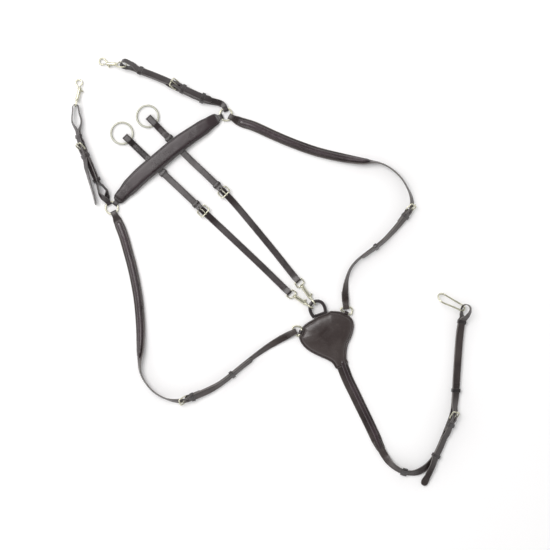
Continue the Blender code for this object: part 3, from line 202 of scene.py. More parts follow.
class Guide:
    """A strap run's centre line on the table, with its roll and its height at every distance."""

    # How many drawn points to each side the heading is taken over, and the room above the floor
    reach = 3
    gap = 0.1

    def __init__(self, route: Route) -> None:
        """Draw the line through the route's stops."""
        rows = [(*place(s.across, s.down).xy, math.radians(s.roll), s.low, s.half) for s in route]
        self.rows = smooth(rows, ROUTE_STEPS)
        self.lengths = [0.0]
        for first, second in zip(self.rows, self.rows[1:]):
            self.lengths.append(self.lengths[-1] + math.dist(first[:2], second[:2]) / MM)
        self.length = self.lengths[-1]

    def near(self, point: Point) -> float:
        """Return the distance along the guide of the spot nearest to a layout point."""
        target = place(*point).xy
        gaps = [math.dist(row[:2], target) for row in self.rows]
        return self.lengths[gaps.index(min(gaps))]

    def frame(self, s: float) -> tuple[Vector, Vector, Vector, Vector]:
        """Find how the strap lies at a distance along the guide.

        Args:
            s: The distance in millimetres; it may lie past either end.

        Returns:
            The spot, the heading, the side and the face's direction.
        """
        last = len(self.lengths) - 2
        index = min(max(int(np.searchsorted(self.lengths, s, "left")) - 1, 0), last)
        span = self.lengths[index + 1] - self.lengths[index]
        f = (s - self.lengths[index]) / span
        held = min(max(f, 0.0), 1.0)
        first, second = self.rows[index], self.rows[index + 1]
        roll, low, half = (a + (b - a) * held for a, b in zip(first[2:], second[2:]))
        spot = Vector([a + (b - a) * f for a, b in zip(first[:2], second[:2])] + [0.0])
        before = self.rows[max(index - self.reach, 0)]
        after = self.rows[min(index + 1 + self.reach, len(self.rows) - 1)]
        ahead = Vector((after[0] - before[0], after[1] - before[1], 0.0)).normalized()
        left = Vector((-ahead.y, ahead.x, 0.0))
        side = left * math.cos(roll) + UP * math.sin(roll)
        face = UP * math.cos(roll) - left * math.sin(roll)
        spot.z = (low * abs(math.cos(roll)) + half * abs(math.sin(roll)) + self.gap) * MM
        return spot, ahead, side, face

    def at(self, s: float, n: float = 0.0, u: float = 0.0) -> Vector:
        """Return the point at a distance along, above and beside the guide line."""
        spot, _, side, face = self.frame(s)
        return spot + face * (n * MM) + side * (u * MM)

    def matrix(self, s: float, n: float = 0.0, u: float = 0.0) -> Matrix:
        """Return the frame at a distance: X ahead, Y to the side, Z out of the face."""
        _, ahead, side, face = self.frame(s)
        turned = Matrix((ahead, side, face)).transposed().to_4x4()
        return Matrix.Translation(self.at(s, n, u)) @ turned


def shell(rings: Sequence[Sequence[Sequence[float]]], closed: bool = False,
          across: Sequence[float] | None = None, along: Sequence[float] | None = None,
          capped: bool = True) -> Shape:
    """Lay a grid over rings of points and weld it into a skin.

    Args:
        rings: Cross-sections of equal count, each closed, in metres.
        closed: Whether the last ring joins on to the first.
        across: The UV's first value for each point of a ring.
        along: The UV's second value for each ring.
        capped: Whether both open ends are filled.

    Returns:
        A closed skin with its faces outwards, and a UV layer named run.
    """
    grid = np.array([[tuple(point) for point in ring] for ring in rings], float)
    grid = np.concatenate([grid, grid[:, :1]], axis=1)
    if closed:
        grid = np.concatenate([grid, grid[:1]], axis=0)
    rows, columns = grid.shape[:2]
    builder = bmesh.new()
    run = builder.loops.layers.uv.new("run")
    bmesh.ops.create_grid(builder, x_segments=columns - 1, y_segments=rows - 1, size=1.0)
    builder.verts.index_update()
    sideways = list(across) + [across[0]] if across is not None else list(np.linspace(0, 1, columns))
    lengthways = list(along) if along is not None else list(np.linspace(0, 1, rows))
    if closed and len(lengthways) < rows:
        lengthways.append(lengthways[-1] + (lengthways[-1] - lengthways[-2]))
    for vert, spot in zip(builder.verts, grid.reshape(-1, 3)):
        vert.co = spot
    for face in builder.faces:
        for loop in face.loops:
            row, column = divmod(loop.vert.index, columns)
            loop[run].uv = (sideways[column], lengthways[row])
    bmesh.ops.remove_doubles(builder, verts=builder.verts, dist=WELD)
    if capped and not closed:
        rims = [edge for edge in builder.edges if edge.is_boundary]
        bmesh.ops.holes_fill(builder, edges=rims, sides=0)
    bmesh.ops.recalc_face_normals(builder, faces=builder.faces)
    return builder


def stand(name: str, data: bpy.types.ID) -> Thing:
    """Put a mesh, a lamp or a camera into the scene as an object at the origin."""
    thing = bpy.data.objects.new(name, data)
    bpy.context.scene.collection.objects.link(thing)
    return thing


def piece(name: str, builder: Shape, angle: float = SHARP) -> Thing:
    """Turn a finished bmesh into a smooth-shaded object at the origin."""
    mesh = bpy.data.meshes.new(name)
    builder.to_mesh(mesh)
    builder.free()
    mesh.shade_smooth()
    mesh.set_sharp_from_angle(angle=math.radians(angle))
    return stand(name, mesh)


def merged(builders: Iterable[Shape]) -> Shape:
    """Put several bmeshes into one."""
    whole = bmesh.new()
    for part in builders:
        carrier = bpy.data.meshes.new("carrier")
        part.to_mesh(carrier)
        part.free()
        whole.from_mesh(carrier)
        bpy.data.meshes.remove(carrier)
    return whole


def boolean(thing: Thing, tool: Shape, operation: str) -> None:
    """Cut a tool from a piece, or join it on, and keep the result as the piece's mesh.

    Args:
        thing: The piece.
        tool: The shape to cut or join with; it is used up.
        operation: DIFFERENCE or UNION.
    """
    cutter = piece(thing.name + "_tool", tool)
    modifier = thing.modifiers.new("shape", "BOOLEAN")
    modifier.operation = operation
    modifier.object = cutter
    modifier.solver = "EXACT"
    bpy.context.view_layer.update()
    graph = bpy.context.evaluated_depsgraph_get()
    made = bpy.data.meshes.new_from_object(thing.evaluated_get(graph))
    thing.modifiers.clear()
    builder = bmesh.new()
    builder.from_mesh(made)
    many_sided = [face for face in builder.faces if len(face.verts) > 4]
    bmesh.ops.triangulate(builder, faces=many_sided, quad_method="BEAUTY", ngon_method="BEAUTY")
    builder.to_mesh(made)
    builder.free()
    old, thing.data = thing.data, made
    bpy.data.meshes.remove(old)
    bpy.data.objects.remove(cutter)
    made.set_sharp_from_angle(angle=math.radians(SHARP))


def block(matrix: Matrix, low: Sequence[float], high: Sequence[float], round_by: float = 0.0) -> Shape:
    """Make a box with rounded edges.

    Args:
        matrix: The frame that the box stands in.
        low: Its lower corner, in millimetres of the frame.
        high: Its upper corner.
        round_by: The radius of its edges.

    Returns:
        The box.
    """
    builder = bmesh.new()
    bmesh.ops.create_cube(builder, size=1.0)
    size = [(b - a) * MM for a, b in zip(low, high)]
    middle = Vector([(a + b) / 2 for a, b in zip(low, high)]) * MM
    bmesh.ops.scale(builder, vec=size, verts=builder.verts)
    if round_by:
        bmesh.ops.bevel(builder, geom=builder.edges[:], offset=round_by * MM, affect="EDGES",
                        segments=3, profile=0.5, material=-1)
    bmesh.ops.translate(builder, vec=middle, verts=builder.verts)
    bmesh.ops.transform(builder, matrix=matrix, verts=builder.verts)
    return builder


def turned(matrix: Matrix, outline: Points, sides: int) -> Shape:
    """Spin a profile about the X axis of a frame.

    Args:
        matrix: The frame.
        outline: The profile's points, each along the axis and out from it, in millimetres.
        sides: How many sides the turned shape has.

    Returns:
        The turned shape.
    """
    builder = bmesh.new()
    verts = [builder.verts.new((x * MM, r * MM, 0.0)) for x, r in outline]
    edges = [builder.edges.new(pair) for pair in zip(verts, verts[1:])]
    bmesh.ops.spin(builder, geom=verts + edges, cent=(0, 0, 0), axis=(1, 0, 0),
                   angle=math.tau, steps=sides, use_merge=True)
    bmesh.ops.remove_doubles(builder, verts=builder.verts, dist=WELD)
    bmesh.ops.recalc_face_normals(builder, faces=builder.faces)
    bmesh.ops.transform(builder, matrix=matrix, verts=builder.verts)
    return builder


def circle(radius: float, sides: int) -> list[Point]:
    """Return points evenly round a circle."""
    return [(radius * math.cos(math.tau * k / sides), radius * math.sin(math.tau * k / sides))
            for k in range(sides)]


def tube(points: Sequence[Vector], radii: float | Sequence[float], plane: Vector, sides: int = 16,
         closed: bool = False) -> Shape:
    """Sweep a round wire through points in metres that lie in a plane.

    Args:
        points: The wire's centre line.
        radii: The wire's radius in millimetres, or one for each point.
        plane: The normal of the plane that the wire is bent in.
        sides: How many sides the wire has.
        closed: Whether the wire closes on itself.

    Returns:
        The wire, with rounded ends where it is open.
    """
    spots = list(points)
    sizes = list(radii) if isinstance(radii, Sequence) else [radii] * len(spots)
    for _ in range(0 if closed else 2):
        end, size = spots[-1], sizes[-1]
        out = (end - spots[-2]).normalized() * (size * MM)
        spots = [*spots, *(end + out * math.sin(a) for a in ROUND_END)][::-1]
        sizes = [*sizes, *(size * math.cos(a) for a in ROUND_END)][::-1]
    count = len(spots)
    rings = []
    for index, spot in enumerate(spots):
        if closed:
            ahead = spots[(index + 1) % count] - spots[index - 1]
        else:
            ahead = spots[min(index + 1, count - 1)] - spots[max(index - 1, 0)]
        side = plane.cross(ahead).normalized()
        over = ahead.cross(side).normalized()
        rings.append([spot + side * (a * MM) + over * (b * MM) for a, b in circle(sizes[index], sides)])
    return shell(rings, closed)


@dataclass(frozen=True)
class Section:
    """A strap's cross-section: rounded edges and a tooled crease inside each of them."""

    crease: float = 0.42
    crown: float = 0.0
    inset: float = 1.1

    def points(self, wide: float, thick: float) -> list[tuple[float, float, float]]:
        """Return the outline from the middle of the back, as (across, up, across from -1 to 1)."""
        w, h = wide / 2, thick / 2
        r = min(1.25, h * 0.96, w * 0.4)
        scale = min(1.0, wide / 13)
        deep = self.crease * min(1.0, thick / LEATHER)
        outline = [(0.5 * w, -h)]
        outline += [(w - r + r * math.sin(a), -h + r - r * math.cos(a)) for a in (0.0, 0.6, 1.1, math.pi / 2)]
        outline += [(w - r + r * math.cos(a), h - r + r * math.sin(a)) for a in (0.5, 1.0, math.pi / 2)]
        near = w - r - self.inset * scale
        outline += [(near + 0.45 * scale, h), (near, h - deep), (near - 0.55 * scale, h)]
        outline += [(near - 1.2 * scale, h + self.crown * 0.3), (0.5 * near, h + self.crown * 0.75)]
        outline.append((0.22 * near, h + self.crown))
        left = [(-a, b) for a, b in reversed(outline)]
        return [(a, b, a / w) for a, b in [(0.0, -h)] + outline + left]


KEEPER_SECTION = Section(0.16, 0.12, 0.7)


@dataclass(frozen=True)
class Roll:
    """A padded roll's cross-section: a domed top that pulls in to its stitched sides."""

    squareness: float = 2.6
    lip: float = 0.5

    def points(self, wide: float, thick: float) -> list[tuple[float, float, float]]:
        """Return the outline from the middle of the back, as (across, up, across from -1 to 1)."""
        w, h = wide / 2, thick / 2
        outline = [(0.0, -h), (0.55 * w, -h), (w - self.lip, -h)]
        for k in range(13):
            a = math.pi / 2 * k / 12
            x = w * math.cos(a) ** (2 / self.squareness)
            y = 2 * h * math.sin(a) ** (2 / self.squareness)
            outline.append((x, y - h))
        right = outline[1:-1]
        left = [(-a, b) for a, b in reversed(right)]
        return [(a, b, a / w) for a, b in [outline[0]] + right + [outline[-1]] + left]


def soft_step(f: float) -> float:
    """Return a share eased at both ends."""
    f = min(max(f, 0.0), 1.0)
    return f * f * (3 - 2 * f)


def fold(s: float, n: float, radius: float, towards: int, thick: float = SKIVED, wide: float = FOLD,
         from_top: bool = False, steps: int = 14) -> list[Row]:
    """Bend a strap half round a bar.

    Args:
        s: How far along the guide the bar lies.
        n: How high above the guide it lies.
        radius: The bend's radius, in the middle of the leather.
        towards: 1 or -1, the way that the bend's apex points.
        thick: The leather's thickness.
        wide: Its width.
        from_top: Whether the bend starts above the bar.
        steps: How many steps it has.

    Returns:
        The rows of the bend.
    """
    start = 90.0 if from_top else -90.0
    rows = []
    for step in range(steps + 1):
        angle = math.radians(start - math.copysign(180.0 * step / steps, start))
        along = s + towards * radius * math.cos(angle)
        rows.append(lay(along, n + radius * math.sin(angle), wide, thick))
    return rows


def ring_fold(end: float, away: int, middle: float = 0.0, sag: float = 2.2, wide: float = FOLD,
              from_top: bool = False) -> list[Row]:
    """Fold a strap's end round a ring's wire.

    Args:
        end: How far along the guide the ring's wire lies.
        away: 1 or -1, the way that the strap leaves the ring.
        middle: How high above the guide the wire lies.
        sag: How far the fold's middle lies back from the wire.
        wide: The strap's width in the fold.
        from_top: Whether the first layer is the upper one.

    Returns:
        The rows, from the first layer to the other.
    """
    radius = RING_WIRE + 0.45 + SKIVED / 2
    first, last = (radius, -radius) if from_top else (-radius, radius)
    clear = end + away * 3.4
    rows = [lay(clear, middle + first, wide, SKIVED)]
    rows += fold(end - away * sag, middle, radius, -away, wide=wide, from_top=from_top)
    rows.append(lay(clear, middle + last, wide, SKIVED))
    return rows


def tip(s: float, n: float, towards: int, wide: float = STRAP) -> list[Row]:
    """Round off a billet's end.

    Args:
        s: How far along the guide the end lies.
        n: How high above the guide the billet lies.
        towards: 1 or -1, the way that the end points.
        wide: The billet's width.

    Returns:
        The rows of the rounded end.
    """
    rows = []
    reach = 9.0
    for back in (reach, 7.0, 5.2, 3.6, 2.2, 1.1, 0.4, 0.0):
        share = max(1 - (1 - back / reach) ** 2.2, 0.0) ** 0.62
        thick = LEATHER * (0.75 + 0.25 * share)
        rows.append(lay(s - towards * back, n, wide * (0.24 + 0.76 * share), thick))
    return rows


def spread(rows: Sequence[Row], spacing: float) -> list[Row]:
    """Add rows at even distances along the guide, the same for every strap on it."""
    filled = []
    for first, second in zip(rows, rows[1:]):
        filled.append(tuple(first))
        low, high = sorted((first[0], second[0]))
        if high - low < spacing:
            continue
        clear = 0.3 * spacing
        marks = range(math.ceil((low + clear) / spacing), math.floor((high - clear) / spacing) + 1)
        between = [mark * spacing for mark in marks]
        if second[0] < first[0]:
            between.reverse()
        for s in between:
            eased = soft_step((s - first[0]) / (second[0] - first[0]))
            filled.append((s, *(a + (b - a) * eased for a, b in zip(first[1:], second[1:]))))
    filled.append(tuple(rows[-1]))
    return filled


def strap(guide: Guide, rows: Sequence[Row], section: Section | Roll = Section(), spacing: float = 3.0,
          tail: tuple[Guide, Sequence[Row]] | None = None) -> Shape:
    """Sweep a leather section along a strap's rows.

    Args:
        guide: The line that the strap follows.
        rows: The strap's rows.
        section: Its cross-section.
        spacing: The distance between drawn rows.
        tail: A second guide that the strap's end turns off to, with the rows on it.

    Returns:
        The strap's skin.
    """
    run = [(guide, row) for row in spread(rows, spacing)]
    if tail:
        run += [(tail[0], row) for row in spread(tail[1], spacing)]
    spots = [line.at(row[0], row[1], row[2]) for line, row in run]
    rings, along, travelled = [], [], 0.0
    for index, (line, row) in enumerate(run):
        ahead = spots[min(index + 1, len(spots) - 1)] - spots[max(index - 1, 0)]
        side = line.frame(row[0])[2]
        if line is not guide:
            side = -side
        face = ahead.cross(side).normalized()
        side = face.cross(ahead).normalized()
        outline = section.points(row[4], row[3])
        rings.append([spots[index] + side * (a * MM) + face * (b * MM) for a, b, _ in outline])
        travelled += (spots[index] - spots[max(index - 1, 0)]).length
        along.append(travelled)
    across = [value for _, _, value in section.points(STRAP, LEATHER)]
    return shell(rings, False, across, along)


def keeper(guide: Guide, s: float, low: float, high: float, half: float = STRAP / 2,
           slack: float = GAP, wide: float = 8.0) -> Shape:
    """Bend a leather keeper round the layers of a strap.

    Args:
        guide: The line that the strap follows.
        s: How far along it the keeper sits.
        low: The lowest layer's underside, above the guide.
        high: The highest layer's face.
        half: Half the strap's width.
        slack: The room at each side.
        wide: The keeper's own width.

    Returns:
        The keeper.
    """
    low, high, half = low - GAP - BAND / 2, high + GAP + BAND / 2, half + slack + BAND / 2
    corner, steps, run_step = 1.1, 4, 0.002
    path = []
    for cu, cn, start in ((half, high, 0), (-half, high, 90), (-half, low, 180), (half, low, 270)):
        for step in range(steps + 1):
            turn = math.radians(start + 90 * step / steps)
            out_u, out_n = math.cos(turn), math.sin(turn)
            u = cu - math.copysign(corner, cu) + corner * out_u
            n = cn - (corner if cn == high else -corner) + corner * out_n
            path.append((u, n, out_u, out_n))
    rings = []
    for u, n, out_u, out_n in path:
        rings.append([guide.at(s + a, n + b * out_n, u + b * out_u)
                      for a, b, _ in KEEPER_SECTION.points(wide, BAND)])
    across = [value for _, _, value in Section().points(STRAP, LEATHER)]
    return shell(rings, True, across, [k * run_step for k in range(len(rings) + 1)])


def stitches(spots: Iterable[Stitch], length: float = 2.6, thick: float = 0.34) -> Shape:
    """Lay one small thread at each spot, given with its heading and the leather's face."""
    builder = bmesh.new()
    shape = Matrix.Diagonal((length / 2 * MM, thick * MM, thick * 0.8 * MM, 1.0))
    for spot, ahead, face in spots:
        side = face.cross(ahead).normalized()
        turned_to = Matrix((ahead.normalized(), side, face)).transposed().to_4x4()
        bmesh.ops.create_icosphere(builder, subdivisions=1, radius=1.0,
                                   matrix=Matrix.Translation(spot) @ turned_to @ shape)
    return builder


def feed(tree: Tree, target: bpy.types.Node, inputs: dict) -> None:
    """Set a node's inputs, or link those whose value is another node's socket.

    Args:
        tree: The tree that the node stands in.
        target: The node.
        inputs: A value or a socket for each input's name or number.
    """
    for key, value in inputs.items():
        if isinstance(value, Socket):
            tree.links.new(value, target.inputs[key])
        else:
            target.inputs[key].default_value = value


def node(tree: Tree, kind: str, inputs: dict | None = None, **settings: object) -> bpy.types.Node:
    """Add a shader node.

    Args:
        tree: The tree to add it to.
        kind: The node's type, without ShaderNode in front.
        inputs: A value or a socket for each input's name or number.
        settings: The node's own properties.

    Returns:
        The new node.
    """
    made = tree.nodes.new("ShaderNode" + kind)
    for name, value in settings.items():
        setattr(made, name, value)
    feed(tree, made, inputs or {})
    return made


def node_group(name: str, dial: str, value: float, outputs: Sequence[str]
               ) -> tuple[Tree, Socket, Socket, bpy.types.Node]:
    """Start a shader node group that reads a place and one number.

    Args:
        name: The group's name.
        dial: The name of its number.
        value: What the number is if nothing is given.
        outputs: The names of the values that it puts out.

    Returns:
        The group, its place, its number and its output node.
    """
    tree = bpy.data.node_groups.new(name, "ShaderNodeTree")
    tree.interface.new_socket("Vector", in_out="INPUT", socket_type="NodeSocketVector")
    tree.interface.new_socket(dial, in_out="INPUT", socket_type="NodeSocketFloat").default_value = value
    for label in outputs:
        tree.interface.new_socket(label, in_out="OUTPUT", socket_type="NodeSocketFloat")
    start = tree.nodes.new("NodeGroupInput")
    return tree, start.outputs["Vector"], start.outputs[dial], tree.nodes.new("NodeGroupOutput")


def ramp(tree: Tree, value: Socket, low: object, high: float) -> Socket:
    """Return a value mapped so that low gives 0 and high gives 1, clamped."""
    made = node(tree, "MapRange", {"Value": value, "From Min": low, "From Max": high}, clamp=True)
    return made.outputs["Result"]


def maths(tree: Tree, operation: str, a: object, b: object = 0.0) -> Socket:
    """Return the result of a maths node on two values."""
    return node(tree, "Math", {0: a, 1: b}, operation=operation).outputs[0]


def noise(tree: Tree, spot: Socket, scale: object, detail: float,
          roughness: float = 0.5) -> Socket:
    """Return the value of a noise texture."""
    inputs = {"Vector": spot, "Scale": scale, "Detail": detail, "Roughness": roughness}
    return node(tree, "TexNoise", inputs).outputs["Fac"]


def mix(tree: Tree, amount: object, *colours: object) -> Socket:
    """Return two colours mixed; each is three numbers or another node's socket."""
    first, second = (value if isinstance(value, Socket) else (*value, 1.0) for value in colours)
    return node(tree, "Mix", {0: amount, 6: first, 7: second}, data_type="RGBA").outputs[2]


def build_grain_group() -> Tree:
    """Build the leather's surface: its grain and shallow dents as a height, and a mask of its pores."""
    tree, spot, scale, end = node_group("leather_grain", "Scale", 900.0, ("Height", "Pores"))
    wider = maths(tree, "MULTIPLY", scale, 0.4)
    bend = node(tree, "TexNoise", {"Vector": spot, "Scale": wider, "Detail": 2.0})
    pulled = node(tree, "VectorMath", {0: bend.outputs["Color"], 1: (0.0007, 0.0007, 0.0007)},
                  operation="MULTIPLY")
    moved = node(tree, "VectorMath", {0: spot, 1: pulled.outputs[0]}, operation="ADD")
    cells = node(tree, "TexVoronoi", {"Vector": moved.outputs[0], "Scale": scale}, feature="DISTANCE_TO_EDGE")
    pebbles = ramp(tree, cells.outputs["Distance"], 0.0, 0.28)
    wrinkles = noise(tree, spot, maths(tree, "MULTIPLY", scale, 0.12), 6.0, 0.6)
    height = maths(tree, "ADD", maths(tree, "MULTIPLY", pebbles, 0.45), wrinkles)
    dents = noise(tree, spot, 42.0, 1.0)
    height = maths(tree, "ADD", height, maths(tree, "MULTIPLY", dents, 9.0))
    feed(tree, end, {"Height": height, "Pores": maths(tree, "SUBTRACT", 1.0, pebbles)})
    return tree


def build_mottle_group() -> Tree:
    """Build the slow changes of a surface: one wide mask and one of small scuffs."""
    tree, spot, scale, end = node_group("mottle", "Scale", 20.0, ("Wide", "Scuffs"))
    wide = noise(tree, spot, scale, 3.0)
    small = noise(tree, spot, maths(tree, "MULTIPLY", scale, 9.0), 8.0, 0.7)
    feed(tree, end, {"Wide": ramp(tree, wide, 0.35, 0.65), "Scuffs": ramp(tree, small, 0.54, 0.72)})
    return tree


def build_edge_group() -> Tree:
    """Build the mask of the band along a strap's edges from the strap's own UV map."""
    tree, run, start, end = node_group("edge_band", "Start", 0.9, ("Edge",))
    across = maths(tree, "ABSOLUTE", node(tree, "SeparateXYZ", {0: run}).outputs["X"])
    feed(tree, end, {"Edge": ramp(tree, across, start, 1.0)})
    return tree


class Workshop:
    """Holds the shared node groups and makes each finish's material once."""

    def __init__(self) -> None:
        """Build the shared groups."""
        self.grain = build_grain_group()
        self.mottle = build_mottle_group()
        self.edge = build_edge_group()
        self.made: dict[object, Material] = {}

    def material(self, finish: Hide | Metal | Thread | Plain) -> Material:
        """Return a finish's material."""
        if finish not in self.made:
            self.made[finish] = finish.build(self)
        return self.made[finish]


def start_material(name: str) -> tuple[Tree, bpy.types.Node, Material]:
    """Start a material; return its tree, its Principled shader and itself."""
    material = bpy.data.materials.new(name)
    material.use_nodes = True
    tree = material.node_tree
    return tree, tree.nodes["Principled BSDF"], material


@dataclass(frozen=True)
class Hide:
    """A dyed and waxed leather: its dye, where it has rubbed lighter, its grain and its shine."""

    name: str
    dye: Colour
    rubbed: Colour
    edge: Colour
    grain: float = 900.0
    depth: float = 0.00010
    bump: float = 0.8
    pores: float = 0.45
    clouds: float = 22.0
    scuffs: float = 0.35
    edge_start: float = 0.90
    edge_share: float = 0.8
    roughness: float = 0.32
    wax: float = 0.35
    wax_roughness: float = 0.22
    ior: float = 1.42
    slot: Slot = Slot.LEATHER

    def build(self, shop: Workshop) -> Material:
        """Return the leather's material."""
        tree, shader, material = start_material(self.name)
        spot = node(tree, "TexCoord").outputs["Object"]
        run = node(tree, "UVMap", uv_map="run").outputs["UV"]
        grain = node(tree, "Group", {"Vector": spot, "Scale": self.grain}, node_tree=shop.grain).outputs
        mottle = node(tree, "Group", {"Vector": spot, "Scale": self.clouds}, node_tree=shop.mottle).outputs
        edge = node(tree, "Group", {"Vector": run, "Start": self.edge_start}, node_tree=shop.edge).outputs
        colour = mix(tree, mottle["Wide"], self.dye, self.rubbed)
        paler = [min(c * 1.5, 1.0) for c in self.rubbed]
        colour = mix(tree, maths(tree, "MULTIPLY", mottle["Scuffs"], self.scuffs), colour, paler)
        darker = [c * 0.4 for c in self.dye]
        colour = mix(tree, maths(tree, "MULTIPLY", grain["Pores"], self.pores), colour, darker)
        # The edge band takes the edge colour. On the strap and keeper leathers it is lighter: partly the pale
        # cut edge, partly a painted highlight on the rounded edges. On the padded leathers it is darker and
        # darkens the foot of the roll.
        colour = mix(tree, maths(tree, "MULTIPLY", edge["Edge"], self.edge_share), colour, self.edge)
        rough = maths(tree, "ADD", maths(tree, "MULTIPLY", mottle["Scuffs"], 0.12),
                      maths(tree, "MULTIPLY", mottle["Wide"], 0.06))
        rough = maths(tree, "ADD", rough, self.roughness - 0.05)
        bump = node(tree, "Bump", {"Height": grain["Height"], "Distance": self.depth, "Strength": self.bump})
        feed(tree, shader, {"Base Color": colour, "Roughness": rough, "Normal": bump.outputs["Normal"],
                            "Coat Weight": self.wax, "Coat Roughness": self.wax_roughness, "IOR": self.ior})
        return material


@dataclass(frozen=True)
class Metal:
    """A polished cast fitting: its colour, a darker film in random patches and its fine scratches."""

    name: str
    bright: Colour
    film: Colour
    roughness: float
    clouds: float = 60.0
    scratches: Colour = (400.0, 2600.0, 900.0)
    depth: float = 0.00001
    slot: Slot = Slot.BRASS

    def build(self, shop: Workshop) -> Material:
        """Return the metal's material."""
        tree, shader, material = start_material(self.name)
        spot = node(tree, "TexCoord").outputs["Object"]
        mottle = node(tree, "Group", {"Vector": spot, "Scale": self.clouds}, node_tree=shop.mottle).outputs
        colour = mix(tree, maths(tree, "MULTIPLY", mottle["Wide"], 0.45), self.bright, self.film)
        colour = mix(tree, maths(tree, "MULTIPLY", mottle["Scuffs"], 0.25), colour, self.film)
        drawn = node(tree, "Mapping", {"Vector": spot, "Scale": self.scratches})
        marks = noise(tree, drawn.outputs[0], 1.0, 4.0)
        rough = maths(tree, "ADD", maths(tree, "MULTIPLY", mottle["Scuffs"], 0.14), self.roughness)
        rough = maths(tree, "ADD", rough, maths(tree, "MULTIPLY", marks, 0.06))
        bump = node(tree, "Bump", {"Height": marks, "Distance": self.depth, "Strength": 0.3})
        feed(tree, shader, {"Base Color": colour, "Roughness": rough, "Normal": bump.outputs["Normal"],
                            "Metallic": 1.0})
        return material


@dataclass(frozen=True)
class Thread:
    """A waxed linen thread."""

    name: str
    colour: Colour
    clouds: float = 300.0
    slot: Slot = Slot.LEATHER

    def build(self, shop: Workshop) -> Material:
        """Return the thread's material."""
        tree, shader, material = start_material(self.name)
        spot = node(tree, "TexCoord").outputs["Object"]
        mottle = node(tree, "Group", {"Vector": spot, "Scale": self.clouds}, node_tree=shop.mottle).outputs
        colour = mix(tree, mottle["Wide"], self.colour, [c * 0.55 for c in self.colour])
        feed(tree, shader, {"Base Color": colour, "Roughness": 0.55})
        return material


@dataclass(frozen=True)
class Plain:
    """The pale floor."""

    name: str
    colour: Colour

    def build(self, _: Workshop) -> Material:
        """Return the floor's material."""
        tree, shader, material = start_material(self.name)
        feed(tree, shader, {"Base Color": (*self.colour, 1.0), "Roughness": 0.9, "Specular IOR Level": 0.1})
        return material


# Edge colours: on the strap and keeper leathers lighter than the dye, partly the pale cut edge and partly a
# painted highlight on the rounded edges; on the padded leathers darker, at the foot of the roll.
BRIDLE_LEATHER = Hide("bridle_leather", (0.010, 0.0055, 0.0055), (0.032, 0.022, 0.023), (0.135, 0.126, 0.122),
                      edge_start=0.80)
# A lighter copy of the bridle leather for the shoulder, chest, tail and girth straps: painted light for their
# brighter look.
LIT_BRIDLE_LEATHER = Hide("lit_bridle_leather", (0.025, 0.017, 0.016), (0.066, 0.052, 0.049), (0.150, 0.139, 0.131),
                    edge_start=0.80)
KEEPER_LEATHER = Hide("keeper_leather", (0.009, 0.005, 0.005), (0.022, 0.015, 0.015), (0.110, 0.102, 0.096),
                      roughness=0.28, wax=0.5, edge_start=0.86)
BAND_LEATHER = Hide("band_leather", (0.018, 0.0095, 0.011), (0.038, 0.024, 0.028), (0.014, 0.009, 0.010),
                    grain=760.0, depth=0.00013, roughness=0.30, wax=0.2, edge_start=0.985, slot=Slot.PADDED)
PADDED_LEATHER = Hide("padded_leather", (0.023, 0.0125, 0.0145), (0.046, 0.029, 0.034), (0.014, 0.009, 0.010),
                      grain=760.0, depth=0.00013, roughness=0.27, wax=0.5, edge_start=0.985, slot=Slot.PADDED)
PLATE_LEATHER = Hide("plate_leather", (0.023, 0.0125, 0.0115), (0.060, 0.046, 0.043), (0.012, 0.008, 0.008),
                     grain=700.0, depth=0.00014, roughness=0.33, wax=0.4, edge_start=0.995, clouds=15.0,
                     slot=Slot.PADDED)
LINING_LEATHER = Hide("lining_leather", (0.020, 0.015, 0.014), (0.034, 0.026, 0.025), (0.010, 0.007, 0.007),
                      grain=1200.0, roughness=0.62, wax=0.0, slot=Slot.LINING)
PALE_BRASS = Metal("pale_brass", (0.62, 0.605, 0.49), (0.25, 0.245, 0.18), 0.22)
DULL_BRASS = Metal("dull_brass", (0.50, 0.50, 0.43), (0.34, 0.34, 0.28), 0.42)
DARK_THREAD = Thread("dark_thread", (0.045, 0.035, 0.033))
FLOOR = Plain("pale_floor", (0.95, 0.95, 0.95))


@dataclass
class Bench:
    """Dresses finished pieces and puts them on the bodies that carry them."""

    shop: Workshop

    def fit(self, thing: Thing, finish: Hide | Metal | Thread, body: str, *replaced: str,
            padded: float | None = None) -> None:
        """Dress a piece and ride it on its body.

        Args:
            thing: The finished piece.
            finish: What it is made of.
            body: The body that carries it.
            replaced: The model's nodes that it stands for.
            padded: How full the padding is, for a padded piece; not used.
        """
        thing.data.materials.clear()
        thing.data.materials.append(self.shop.material(finish))
        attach(thing, body)
        if replaced:
            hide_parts(*replaced)
        LOG.info("%s rides on %s", thing.name, body)

    def make(self, name: str, shape: Shape, finish: Hide | Metal | Thread, body: str,
             *replaced: str) -> None:
        """Turn a shape into a piece and fit it to its body."""
        self.fit(piece(name, shape), finish, body, *replaced)

    def sew(self, name: str, spots: list[Stitch], body: str) -> None:
        """Sew a seam's stitches as one piece."""
        self.make(name, stitches(spots), DARK_THREAD, body)


def route(*rows: Sequence[float]) -> list[Stop]:
    """Return a route from rows of a stop's numbers."""
    return [Stop(*row) for row in rows]


